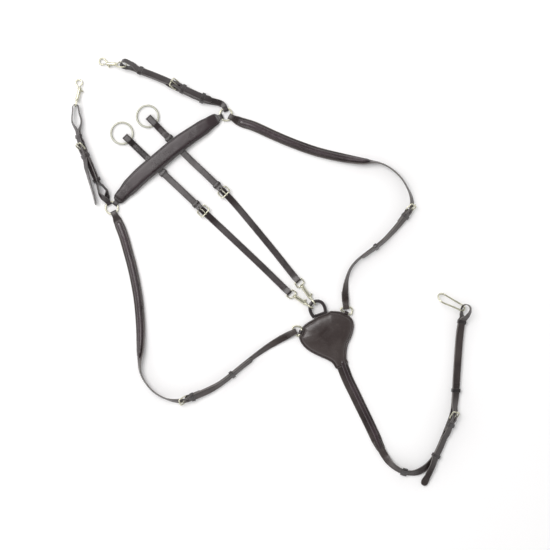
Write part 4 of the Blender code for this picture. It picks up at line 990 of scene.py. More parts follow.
# The guide lines of the straps
RIGHT_SIDE_ROUTE = route(
    (231.3, 117.4, 0, 4.1), (241.2, 122.3, 0, 3.6, 10.8), (254.1, 126.5, -4, 3, 10.8),
    (271.4, 134.3, -8, 1.5, 10.8), (288, 141.5, -10, 1.5, 10.8), (306, 148.3, -12, 1.5, 10.8),
    (322, 153.3, -15, 1.5, 10.8), (344, 158.3, -24, 1.5, 10.8), (361.3, 161.3, -44, 1.5, 10.2),
    (372.5, 162.2, -68, 1.5, 8.6), (380.4, 163.6, -80), (389.9, 168.3, -80), (400.2, 177.5, -80),
    (406.8, 188.2, -78, 2, 9.4), (410.2, 196.4, -68, 4.2, 12), (410.9, 203.4, -58, 5, 13),
    (408.2, 211, -56, 5, 13), (402.6, 219, -52, 5.2, 10.2), (394, 229.3, -57, 5.2, 10.2),
    (384, 239.7, -66, 3.6, 10.2), (375.5, 246.7, -68, 3.6, 10.2), (366, 253.7, -70, 3.6, 9.8),
    (357, 260.8, -74, 2), (350.5, 269, -72, 2), (346.8, 279.5, -60, 2.4), (345.3, 290, -30, 4),
    (345.2, 299, -6, 5.6), (346, 307.5, 0, 5.6),
)
LEFT_SIDE_ROUTE = route(
    (114.4, 213.6, 0, 4.1), (118.2, 221.5, 0, 3.6, 10.8), (123.7, 235.7, 4, 3, 10.8),
    (128.2, 251.5, 8, 1.5, 10.8), (132.5, 267.5, 10, 1.5, 10.8), (136, 284, 12, 1.5, 10.8),
    (138.6, 300, 14, 1.5, 10.8), (140.3, 318, 17, 1.5, 10.8), (141, 335, 24, 1.5, 10.8),
    (140.6, 350, 41, 1.5, 10.2), (139.9, 360.5, 61, 1.5, 9.2), (140.2, 370, 76), (144, 379.5, 80),
    (151.3, 388.9, 80), (159, 394.8, 80), (166.7, 398.3, 78, 2, 9.4), (173.6, 399.9, 66, 4.2, 12),
    (179.6, 399.8, 56, 5, 13), (187.5, 398.2, 54, 5, 13), (197, 394.8, 38, 5.2, 10.2),
    (208, 390, 38, 5.2, 10.2), (220, 383.2, 54, 3.6, 10.2), (232, 374, 58, 3.6, 10.2),
    (243, 365, 58, 3.6, 9.8), (254, 356.6, 52, 2), (267, 347.4, 34, 2.4), (278, 340.6, 12, 4),
    (287, 335.6, 0, 5.6), (294.8, 331.6, 0, 5.6),
)
WITHER_ROUTE = route(
    (115.9, 203.3, 0, 4.1), (122.5, 195.2, 0, 6), (139.5, 177.8, 0, 9.8), (157.3, 162.6, 0, 11.2),
    (180.3, 143.7, 0, 11.2), (204.6, 127, 0, 9.6), (214.4, 120.3, 0, 6.4), (220.7, 117.1, 0, 4.1),
)
RIGHT_SADDLE_ROUTE = route(
    (225, 108.5, 0, 4.1), (223.4, 105.4, 0, 4.9), (219, 103, 6, 6), (211.5, 101.2, 20, 7.3, 9.8),
    (203, 98.6, 28, 7.3, 10.2), (193.5, 94.6, 30, 7.3, 10.2), (184, 90, 32, 7.3, 12),
    (178, 87, 34, 7.3, 13), (171, 83.6, 34, 7.3, 13), (163, 80, 30, 6.4, 11), (152.5, 75.6, 29, 4.3, 10.2),
    (145, 72.8, 31, 4.5, 10.2), (138, 70.2, 38, 8.4, 10.2), (132.4, 67.2, 46, 13.2, 9),
    (127.2, 65.4, 48, 13.2, 9),
)
LEFT_SADDLE_ROUTE = route(
    (108.7, 202.8, 0, 4.1), (107.6, 201.1, -5, 5.2), (105.2, 197.4, -34, 9.6), (102.4, 192.8, -68, 12.1),
    (99.4, 186.6, -72, 11.5, 10.2), (96, 179.2, -59, 8.5, 10.2), (91, 167.4, -52, 7.3, 10.2),
    (87.4, 159.2, -54, 7.3, 12), (83.9, 151.4, -56, 7.3, 13), (81.4, 144.4, -56, 6.4, 13),
    (79.6, 136.8, -56, 4.6, 10.8), (78.4, 129, -64, 4.3, 10.2), (76.8, 118, -74, 4.3, 10.4),
    (75.9, 106.5, -76, 4.3, 10.4),
)
LEFT_SADDLE_TIP_ROUTE = route(
    (87.3, 159.8, 54, 7.3, 10.2), (88.4, 168, 60, 6, 9.4), (90, 176, 68, 4, 8.4), (92.4, 186, 75, 2.6),
    (94.9, 196, 76, 2.6), (96.9, 205, 76, 2.6),
)
LEFT_FORK_ROUTE = route(
    (129.8, 140.9, 0, 6.5), (138, 148.9, 0, 5.2), (150, 160.4, 0, 3.6), (170, 179.5, 0, 3.6),
    (186, 194.6, 0, 5.1), (204.6, 212.2, 0, 5.1), (216, 223, 0, 1.6), (235, 240.8, 0, 1.6),
    (262, 266.4, 0, 1.6), (280, 283.9, 0, 3), (289, 292.6, 0, 4.2),
)
RIGHT_FORK_ROUTE = route(
    (155.2, 124.2, 0, 6.5), (162.8, 132, 0, 5.2), (175, 144.3, 0, 3.6), (192, 161.4, 0, 3.6),
    (208, 176.5, 0, 5.1), (225, 193.3, 0, 5.1), (235.5, 204.6, 0, 1.6), (252, 224.2, 0, 1.6),
    (275, 252.2, 0, 1.6), (291, 272.4, 0, 3), (297.8, 280.6, 0, 4.2),
)
GIRTH_ROUTE = route(
    (342.5, 366, 0, 1.3, 12), (347.8, 379.6, 0, 1.3, 12), (353.7, 391.8, 0, 1.3, 12),
    (360.2, 405.3, 0, 1.3, 12), (366.6, 418.4, 0, 1.3, 12), (372.8, 431.5, 0, 1.3, 11),
    (379.6, 446, 0, 1.3, 11), (385.8, 457, 12, 1.9, 9), (391.2, 463.8, 38, 3.2, 9.8),
    (397.8, 468.8, 46, 3.2, 10), (404.6, 471.6, 46, 3.2, 10), (411.6, 472.4, 42, 3.2, 9.8),
    (419.5, 470.8, 24, 2.2), (427, 465.6, 26, 3.2, 10.2), (433, 458.6, 32, 3.2, 10.2),
    (438, 449.4, 34, 3.2, 10.2), (443, 437.6, 36, 3.2, 10.2), (447.2, 426.2, 42, 3.2, 11),
    (450.4, 417, 46, 3.2, 13), (452.6, 408.6, 44, 3.2, 13), (454.4, 398, 28, 3.2, 10.2),
    (455.4, 387, 16, 3.2, 10.2), (456.5, 370, 12, 3.2, 10.2), (458.2, 346, 12, 3.2, 10.2),
    (459.6, 331, 15, 3.2, 10.2), (461, 321.8, 22, 4.2, 10.2), (461.8, 319, 26, 6.4, 10.2),
    (463.2, 315.6, 42, 10.4, 9.6), (464.9, 310.8, 58, 14.2, 9), (466, 304.4, 60, 14.2, 9),
)
GIRTH_TIP_ROUTE = route(
    (434.4, 456.6, -32, 3.2, 10.2), (430.8, 465.4, -28, 3.2, 10.2), (427.2, 475, -10, 2),
    (423, 485.2, 0, 1.5),
)

# The chest plate, in layout points
PLATE_OUTLINE = [
    (313.5, 319), (320, 314.6), (327, 311.4), (333, 310.9), (341, 311.8), (347.5, 314.8), (352.2, 319.2),
    (353.8, 325), (353, 331.5), (350.8, 338.2), (348.2, 343.6), (346.7, 350.2), (346.4, 357.9),
    (347.5, 363.4), (337.2, 368.8), (333, 363.8), (328.8, 360.6), (321, 357), (313.4, 353.4),
    (306.4, 348.9), (301.4, 343.4), (299.1, 337.6), (299.6, 332.2), (303, 326.2), (308, 322.2),
]
PLATE_SPINE = [(320, 334), (331, 333), (337, 345), (341, 364)]
PLATE_LOOP_BASE = ((312, 317), (326.3, 311.9))
# Each point of the half ring with the height of its roll
PLATE_LOOP_ROUTE = [
    (312.9, 316.2, 4.4), (310.5, 311.6, 7.2), (309.9, 306.8, 9), (311.6, 303, 8.9), (315.4, 301.2, 8.9),
    (319.8, 301.4, 8.9), (323.2, 304.2, 8), (324.9, 308.4, 6.2), (325.4, 312, 4.4),
]
# The two squared rings between the chest straps and the plate; each starts with its strap's bar
RIGHT_PLATE_RING = [
    (341.8, 308), (346, 307.6), (350, 307.3), (351.9, 309.2), (352, 312), (350.8, 314.2), (348.4, 314),
    (344.6, 312), (341.6, 310.6), (340.8, 309),
]
LEFT_PLATE_RING = [
    (292.8, 328), (294.8, 331.6), (296.7, 335.2), (298.4, 335.6), (299.6, 334.2), (300.9, 331),
    (301.7, 328.6), (300.6, 326.9), (297.4, 326.2), (293.8, 326.4),
]
# The girth clip in its own frame, in millimetres: from its gate's nose, round the big end, along
# the spine, through the strap's loop at X 0 and on to the gate's pivot
CLIP_BODY = [
    (52.7, -14), (58, -11.2), (61.4, -6), (62.6, 0), (61.4, 6), (58, 11.2), (52.3, 14.1), (45, 14.3),
    (31, 12.1), (14, 10.1), (6.6, 9.3), (2, 6.8), (0.2, 2.2), (0.2, -2.2), (2, -6.8), (5.4, -9.1),
    (9.5, -9.7),
]
CLIP_GATE = [(12.3, -9.9), (31, -11.8), (50.2, -13.8)]


def rounded_frame(length: float, half: float, corner: float, sides: int = 4) -> list[Point]:
    """Draw a rectangle with round corners, from X 0 to the length.

    Args:
        length: How far it reaches along X.
        half: How far it reaches to each side of X.
        corner: The radius of its corners.
        sides: How many steps each straight side has.

    Returns:
        Its points in order.
    """
    corners = [(corner, -half + corner, 180), (length - corner, -half + corner, 270),
               (length - corner, half - corner, 0), (corner, half - corner, 90)]
    steps = 6
    turns = []
    for x, y, start in corners:
        for step in range(steps + 1):
            angle = math.radians(start + 90 * step / steps)
            turns.append((x + corner * math.cos(angle), y + corner * math.sin(angle)))
    points = []
    for first, second in zip(turns, turns[1:] + turns[:1]):
        for step in range(sides if math.dist(first, second) > corner else 1):
            f = step / sides
            points.append((first[0] + (second[0] - first[0]) * f, first[1] + (second[1] - first[1]) * f))
    return points


def evenly(line: Sequence[Vector], pitch: float, start: float) -> Iterable[tuple[int, Vector, Vector]]:
    """Walk along a line in even steps.

    Args:
        line: The line's points, in metres.
        pitch: The length of a step, in millimetres.
        start: The length before the first spot.

    Returns:
        For each spot the number of its span, the spot and the span's heading.
    """
    ahead_of = start
    for index, (first, second) in enumerate(zip(line, line[1:])):
        span = (second - first).length / MM
        heading = (second - first).normalized()
        while ahead_of < span:
            yield index, first + heading * (ahead_of * MM), heading
            ahead_of += pitch
        ahead_of -= span


def edge_seams(guide: Guide, rows: Sequence[Row], inset: float = 2.4, pitch: float = 4.2,
               under: bool = False) -> list[Stitch]:
    """Return the spots of the two seams inside a strap's edges.

    Args:
        guide: The line that the strap follows.
        rows: The strap's rows over the sewn stretch.
        inset: How far inside the edge the seam runs, in millimetres.
        pitch: The length from one stitch to the next.
        under: Whether the seam is on the strap's back.

    Returns:
        Each stitch's place, its heading and the leather's face.
    """
    run = spread(rows, 3.0)
    way = -1 if under else 1
    proud = 0.02
    spots = []
    for edge in (-1, 1):
        line = [guide.at(s, n + way * (thick / 2 + proud), u + edge * (wide / 2 - inset))
                for s, n, u, thick, wide in run]
        for index, spot, heading in evenly(line, pitch, pitch / 2):
            face = guide.frame(run[index][0])[3] * way
            spots.append((spot, heading, (face - heading * face.dot(heading)).normalized()))
    return spots


def ring_of(centre: Vector, radius: float, thick: float, sides: int = 72) -> Shape:
    """Return a ring that lies flat."""
    points = [centre + Vector((x, y, 0.0)) * MM for x, y in circle(radius, sides)]
    return tube(points, thick, UP, closed=True)


def holes(thing: Thing, guide: Guide, spots: Iterable[tuple[float, float]]) -> None:
    """Punch blind round holes into a strap's back at distances along its guide and heights above it."""
    # Lengths run down from the strap's middle layer, so the top 0.5 mm of the leather stays closed
    radius, low, high = 1.5, -0.7, 2.4
    tools = []
    for s, n in spots:
        upright = guide.matrix(s, n) @ Matrix.Rotation(math.pi / 2, 4, "Y")
        tools.append(turned(upright, [(low, 0.0), (low, radius), (high, radius), (high, 0.0)], 16))
    boolean(thing, merged(tools), "DIFFERENCE")


@dataclass
class Buckle:
    """A brass buckle on a strap run: its rear bar in the fold and its tongue on the front bar."""

    name: str
    guide: Guide
    point: Point
    towards: int
    rear: float = -1.3
    front: float = 5.0
    length: float = 16.0
    half: float = 11.3
    corner: float = 3.2
    rear_s: float = field(init=False)
    front_s: float = field(init=False)

    def __post_init__(self) -> None:
        """Find where the two bars cross the guide."""
        self.rear_s = self.guide.near(self.point) - self.towards * self.length / 2
        self.front_s = self.rear_s + self.towards * self.length

    def chape(self, from_end: bool, main: float = MAIN, under: float = RETURN, wide: float = STRAP,
              back: float = 32.0) -> list[Row]:
        """Fold a strap's end round the rear bar.

        Args:
            from_end: Whether the rows start at the fold-back's end.
            main: How high above the guide the strap lies.
            under: How high above it the fold-back lies.
            wide: The strap's width.
            back: How far from the bar the fold-back ends.

        Returns:
            The rows of the fold-back, the bend and the strap's start.
        """
        away = -self.towards
        near = self.rear_s + away * 9.0
        rows = [lay(self.rear_s + away * back, under, wide - 1.0, SKIVED), lay(near, under, wide, SKIVED)]
        rows += fold(self.rear_s, self.rear, BAR + 0.4 + SKIVED / 2, self.towards, wide=wide)
        rows.append(lay(near, main, wide))
        return rows if from_end else rows[::-1]

    def cut(self, thing: Thing, back: float, ahead: float, low: float, high: float) -> None:
        """Cut an opening for the tongue between two distances from the rear bar and two heights."""
        half = 1.5
        start, stop = sorted((back * self.towards, ahead * self.towards))
        frame = self.guide.matrix(self.rear_s, self.rear)
        boolean(thing, block(frame, (start, -half, low), (stop, half, high)), "DIFFERENCE")

    def cut_fold(self, thing: Thing) -> None:
        """Cut the tongue's slot through the fold."""
        self.cut(thing, -4.4, 3.9, -3.9, 3.5)

    def cut_billet(self, thing: Thing) -> None:
        """Cut the hole that the tongue passes through in the billet."""
        self.cut(thing, -4.8, 12.2, 2.3, 8.6)

    def at(self, x: float, rise: float, u: float = 0.0) -> Vector:
        """Return a point by its distance from the rear bar, in the rear bar's own frame."""
        return self.guide.matrix(self.rear_s, self.rear) @ (Vector((x * self.towards, u, rise)) * MM)

    def frame_mesh(self) -> Shape:
        """Return the frame: one cast wire, a little heavier at the front and dipped under the tongue."""
        points, radii = [], []
        climb = self.front - self.rear
        for x, u in rounded_frame(self.length, self.half, self.corner, sides=8):
            points.append(self.at(x, climb * x / self.length, u))
            front = max(0.0, (x - self.length * 0.7) / (self.length * 0.3))
            dip = 0.16 * front * math.exp(-(u / 1.6) ** 2)
            radii.append(BAR * (1.0 + 0.10 * front) - dip)
        normal = self.guide.matrix(self.rear_s).to_3x3() @ Vector((-climb * self.towards, 0.0, self.length))
        return tube(points, radii, normal.normalized(), closed=True)

    def tongue_mesh(self) -> Shape:
        """Return the tongue: a curl round the rear bar and a pin that rests on the front bar."""
        curl = BAR + 0.25 + TONGUE
        turns = [math.radians(angle) for angle in (-60, -100, -140, -180, -220, -255)]
        path = [(curl * math.cos(turn), curl * math.sin(turn), TONGUE) for turn in turns]
        climb = self.front - self.rear
        path.append((self.length * 0.5, curl + (climb - 0.9) * 0.5, TONGUE))
        path.append((self.length, climb + BAR + 0.25 + TONGUE * 0.8, TONGUE * 0.8))
        path.append((self.length + 2.6, climb + BAR + 0.5, TONGUE * 0.6))
        rows = smooth(path, 6)
        side = self.guide.frame(self.rear_s)[2]
        return tube([self.at(x, y) for x, y, _ in rows], [r for _, _, r in rows], side, 12)

    def dress(self, bench: Bench, body: str, node: str, tongue_body: str) -> None:
        """Make the frame and the tongue and fit them to their bodies."""
        bench.make(self.name + "_buckle", self.frame_mesh(), PALE_BRASS, body, node)
        bench.make(self.name + "_tongue", self.tongue_mesh(), PALE_BRASS, tongue_body, tongue_body)


@dataclass(frozen=True)
class Eye:
    """The eye of a snap, and the leather loop that runs through it."""

    length: float
    half: float
    corner: float
    slack: float
    turn: float
    leather: float


SHORT_EYE = Eye(12.2, FOLD / 2 + 1.0 + EYE_WIRE, 3.0, 3.6, 6.2, FOLD)
LONG_EYE = Eye(20.4, 10.0, 6.0, 13.2, 8.4, 14.0)


@dataclass
class SnapHook:
    """A bolt snap from the eye in its leather loop to its round hook, with a sprung thumb bolt."""

    name: str
    eye: Vector
    target: Vector
    normal: Vector
    eye_side: Vector
    knob_in_plane: bool
    shape: Eye = SHORT_EYE
    hook: float = 6.8
    wire: float = 1.9
    drop: float = 5.2
    barrel: float = 4.0
    rod: float = 1.6
    bore: float = 1.95
    throat: float = 10.6
    tip_angle: float = 122.0
    slot_half: float = 1.45

    def __post_init__(self) -> None:
        """Work out the snap's own frame: X along the barrel, Z out of the hook's plane."""
        reach = (self.target - self.eye).length / MM
        self.centre = math.sqrt(reach ** 2 - self.drop ** 2)
        turn = Matrix.Rotation(math.atan2(self.drop, self.centre), 3, self.normal)
        ahead = (turn @ (self.target - self.eye)).normalized()
        across = self.normal.cross(ahead).normalized()
        over = ahead.cross(across).normalized()
        self.frame = Matrix.Translation(self.eye) @ Matrix((ahead, across, over)).transposed().to_4x4()
        upright = ahead.cross(self.eye_side).normalized()
        leaning = Matrix((ahead, self.eye_side, upright)).transposed().to_4x4()
        self.eye_frame = Matrix.Translation(self.eye) @ leaning
        self.front = self.centre - self.throat

    def at(self, x: float, y: float, z: float = 0.0) -> Vector:
        """Return a point of the snap in metres."""
        return self.frame @ (Vector((x, y, z)) * MM)

    def barrel_mesh(self) -> Shape:
        """Return the turned barrel with its collars and its bore."""
        r, front = self.barrel, self.front
        back = self.shape.length - 1.0
        neck = [(0.0, 0.0), (0.0, 0.66), (0.5, 0.78), (1.7, 0.78), (2.1, 0.62), (2.7, 0.62), (3.1, 0.92),
                (3.7, 1.0), (5.2, 1.0), (5.5, 0.90), (5.9, 0.90), (6.2, 1.0)]
        mouth = [(2.6, 1.0), (2.3, 0.90), (1.9, 0.90), (1.6, 1.0), (0.5, 1.0), (0.0, 0.86)]
        outline = [(back + x, r * share) for x, share in neck]
        outline += [(front - x, r * share) for x, share in mouth]
        outline += [(front, self.bore), (front - 20.6, self.bore), (front - 20.9, 0.0)]
        return turned(self.frame, outline, 36)

    def hook_mesh(self) -> Shape:
        """Return the round hook, from its tapered tip back into the barrel."""
        path = []
        for angle in (self.tip_angle, 95, 65, 32, 0, -32, -64, -95, -125, -152):
            turn = math.radians(angle)
            thick = self.wire * (0.86 + 0.14 * min(1.0, (self.tip_angle - angle) / 60))
            x, y = self.centre + self.hook * math.cos(turn), self.hook * math.sin(turn) - self.drop
            path.append((x, y, thick))
        path += [(self.centre - 9.2, -5.4, self.wire * 1.05), (self.front - 2.5, -2.1, self.wire * 1.1),
                 (self.front - 6.5, -0.9, self.wire)]
        rows = smooth(path, 4)
        plane = self.frame.to_3x3().col[2]
        return tube([self.at(x, y) for x, y, _ in rows], [r for _, _, r in rows], plane)

    def eye_mesh(self) -> Shape:
        """Return the square eye that the strap's loop runs through."""
        points = [self.eye_frame @ (Vector((x, y, 0.0)) * MM)
                  for x, y in rounded_frame(self.shape.length, self.shape.half, self.shape.corner)]
        return tube(points, EYE_WIRE, self.eye_frame.to_3x3().col[2], 14, closed=True)

    def slot_tool(self) -> Shape:
        """Return the cutter for the slot that the thumb knob slides in."""
        low, high, half, deep = self.front - 12.9, self.front - 3.5, self.slot_half, 5.0
        if self.knob_in_plane:
            return block(self.frame, (low, 0.0, -half), (high, deep, half))
        return block(self.frame, (low, -half, 0.0), (high, half, deep))

    def bolt_mesh(self) -> Shape:
        """Return the sliding bolt with its thumb knob."""
        end = self.centre + self.hook * math.cos(math.radians(self.tip_angle)) - self.wire - 0.35
        start, rod = self.front - 14.0, self.rod
        pin = turned(self.frame, [(start, 0.0), (start, rod), (end - 0.9, rod), (end - 0.3, rod * 0.8),
                                  (end, rod * 0.4), (end, 0.0)], 24)
        axis = Vector((0.0, 1.0, 0.0)) if self.knob_in_plane else Vector((0.0, 0.0, 1.0))
        ahead = Vector((1.0, 0.0, 0.0))
        out = Matrix((axis, ahead, axis.cross(ahead))).transposed().to_4x4()
        stand = self.frame @ Matrix.Translation(((self.front - 5.0) * MM, 0.0, 0.0)) @ out
        knob = turned(stand, [(0.0, 0.0), (0.0, 1.1), (4.2, 1.1), (4.5, 1.6), (5.2, 2.1), (6.6, 2.2),
                              (7.4, 2.0), (8.0, 1.4), (8.3, 0.0)], 24)
        return merged([pin, knob])

    def dress(self, bench: Bench, body: str, node: str, bolt_body: str) -> None:
        """Make the snap and its bolt and fit them to their bodies."""
        thing = piece(self.name, self.barrel_mesh())
        boolean(thing, self.slot_tool(), "DIFFERENCE")
        shape = bmesh.new()
        shape.from_mesh(thing.data)
        old = thing.data
        whole = merged([shape, self.hook_mesh(), self.eye_mesh()])
        bpy.data.objects.remove(thing)
        bpy.data.meshes.remove(old)
        bench.make(self.name, whole, PALE_BRASS, body, node)
        bench.make(self.name + "_bolt", self.bolt_mesh(), PALE_BRASS, bolt_body, node + "_bolt")


@dataclass
class ShoulderSide:
    """One side: the padded shoulder strap, the chest strap and the fittings between them."""

    side: Side
    route: Route
    ring_points: Points
    buckle_point: Point
    keeper_point: Point
    tip_point: Point
    pad_point: Point
    pad_wide: float = 11.0
    pad_tall: float = 4.0

    def build(self, bench: Bench) -> None:
        """Make every piece of the side."""
        name = self.side.value
        guide = Guide(self.route)
        buckle = Buckle(name + "_chest", guide, self.buckle_point, -1)
        self.shoulder(bench, guide, buckle)
        self.padding(bench, guide)
        self.chest(bench, guide, buckle)
        buckle.dress(bench, ROOT, "chest_buckle_" + name, "chest_tongue_" + name)
        slide = keeper(guide, guide.near(self.keeper_point), LOW_FACE, TOP_FACE, slack=SLIDE)
        own = "chest_keeper_" + name
        bench.make(name + "_chest_keeper", slide, KEEPER_LEATHER, own, own)
        corners = [place(*point, RING_REST) for point in self.ring_points]
        ring = tube(closed_curve(corners, 8), RING_WIRE, UP, closed=True)
        bench.make(name + "_plate_ring", ring, PALE_BRASS, ROOT, "plate_ring_" + name)

    def shoulder(self, bench: Bench, guide: Guide, buckle: Buckle) -> None:
        """Make the shoulder strap from its fold round the neck ring to its billet's tip."""
        name = self.side.value
        pad = guide.near(self.pad_point)
        end = guide.near(self.tip_point)
        over = BAR + GAP + SKIVED + LEATHER / 2
        turn = [lay(36, -2.1, 19, SKIVED), lay(15, -2.1, 18, SKIVED), *ring_fold(0.0, 1, 0.0, 2.5)]
        flat = [lay(17, 0.2, 19), lay(32, 0.2, 21), lay(pad - 20, 0.2, 21), lay(pad + 6, 0.2),
                lay(buckle.front_s - 10, 0.6)]
        billet = [lay(buckle.front_s, 1.4), lay(buckle.rear_s, buckle.rear + over + 0.7),
                  lay(buckle.rear_s + 9, BILLET), *tip(end, BILLET, 1)]
        thing = piece(name + "_shoulder_strap", strap(guide, turn + flat + billet))
        buckle.cut_billet(thing)
        holes(thing, guide, [(buckle.rear_s + d, BILLET) for d in (24.0, 42.0)])
        bench.fit(thing, LIT_BRIDLE_LEATHER, ROOT, "shoulder_strap_" + name)
        bench.sew(name + "_shoulder_stitching", edge_seams(guide, flat), ROOT)
        bench.sew(name + "_shoulder_back_stitching", edge_seams(guide, flat[:4], under=True), ROOT)

    def padding(self, bench: Bench, guide: Guide) -> None:
        """Make the padded roll along the middle of the shoulder strap."""
        name = self.side.value
        end = guide.near(self.pad_point) - 4
        n, tall, wide = 4.15, self.pad_tall, self.pad_wide
        base = n - tall / 2
        rows = []
        for share, at in ((0.25, 0.0), (0.6, 1.0), (0.85, 2.6), (1.0, 6.0)):
            rows.append(lay(20 + at, base + tall * share / 2, wide * (0.4 + 0.6 * share), tall * share))
        rows += [lay(end - at, base + tall * share / 2, wide * (0.35 + 0.65 * share), tall * share)
                 for share, at in ((1.0, 9.0), (0.8, 4.5), (0.55, 2.0), (0.25, 0.0))]
        thing = piece(name + "_shoulder_pad", strap(guide, rows, Roll(), PAD_SPACING), PAD_SHARP)
        bench.fit(thing, PADDED_LEATHER, ROOT, "shoulder_pad_" + name, padded=0.8)

    def chest(self, bench: Bench, guide: Guide, buckle: Buckle) -> None:
        """Make the chest strap from the buckle's fold to its fold round the plate's ring."""
        name = self.side.value
        bar = guide.length
        turn = buckle.chape(True)
        last = lay(bar - 16, MAIN, 15)
        ring = ring_fold(bar, -1, -1.5, 0.3, from_top=True)
        ring += [lay(bar - 16, RETURN - 0.1, 14, SKIVED), lay(bar - 34, RETURN, 15, SKIVED)]
        thing = piece(name + "_chest_strap", strap(guide, [*turn, last, *ring]))
        buckle.cut_fold(thing)
        bench.fit(thing, LIT_BRIDLE_LEATHER, ROOT, "chest_strap_" + name)
        bench.sew(name + "_chest_stitching", edge_seams(guide, [turn[-1], last]), ROOT)
        loop = keeper(guide, buckle.rear_s + 13, RETURN + GAP, TOP_FACE)
        bench.make(name + "_chest_fixed_keeper", loop, KEEPER_LEATHER, ROOT)


@dataclass
class WithersBand:
    """The band over the withers: a flat backing, a padded band on top and the two neck rings."""

    route: Route
    rings: dict[Side, Point]
    ring_radius: float = 13.0

    def build(self, bench: Bench) -> None:
        """Make the backing, the padded band and the rings."""
        guide = Guide(self.route)
        self.backing(bench, guide)
        self.padding(bench, guide)
        for side, point in self.rings.items():
            ring = ring_of(place(*point, RING_REST), self.ring_radius, RING_WIRE)
            bench.make(side.value + "_neck_ring", ring, PALE_BRASS, ROOT, "neck_ring_" + side.value)

    def backing(self, bench: Bench, guide: Guide) -> None:
        """Make the flat strap with both its ends folded round the neck rings."""
        last = guide.length
        under = -2.2
        start = [lay(34, under, 24, SKIVED), lay(10, under, 22, SKIVED), *ring_fold(0.0, 1, 0.0, 1.7, 11.0)]
        widths = ((8, 22), (12, 25.5), (24, 28), (50, 35), (90, 36.5), (170, 36.5), (last - 46, 33),
                  (last - 22, 27), (last - 12, 25), (last - 8, 22))
        flat = [lay(s, 0.1, wide) for s, wide in widths]
        stop = [*ring_fold(last, -1, 0.0, 1.7, 11.0, True), lay(last - 10, under, 22, SKIVED),
                lay(last - 34, under, 24, SKIVED)]
        thing = piece("withers_backing", strap(guide, start + flat + stop, Section(0.3, 0.0, 1.0)))
        bench.fit(thing, BRIDLE_LEATHER, ROOT, "wither_strap")
        bench.sew("withers_stitching", edge_seams(guide, flat, 2.2, 3.6), ROOT)
        bench.sew("withers_back_stitching", edge_seams(guide, flat, 2.2, 3.6, under=True), ROOT)

    def padding(self, bench: Bench, guide: Guide) -> None:
        """Make the padded band that lies a little to the upper side of the backing."""
        last = guide.length
        low = 0.1 + LEATHER / 2 + GAP
        shape = [(10.0, 1.6, 19.4), (10.5, 3.0, 20.2), (12.5, 3.9, 20.6), (34, 4.8, 23), (60, 5.4, 27),
                 (100, 5.6, 28.5), (170, 5.6, 28.5), (last - 60, 5.4, 27), (last - 32, 4.8, 22.5),
                 (last - 12.5, 3.9, 20.6), (last - 10.5, 3.0, 20.2), (last - 10, 1.6, 19.4)]
        rows = [lay(s, low + tall * 0.43, wide, tall * 0.86, 0.8) for s, tall, wide in shape]
        thing = piece("withers_pad", strap(guide, rows, Roll(5.2, 0.6), PAD_SPACING), PAD_SHARP)
        bench.fit(thing, BAND_LEATHER, ROOT, "wither_pad", padded=0.7)


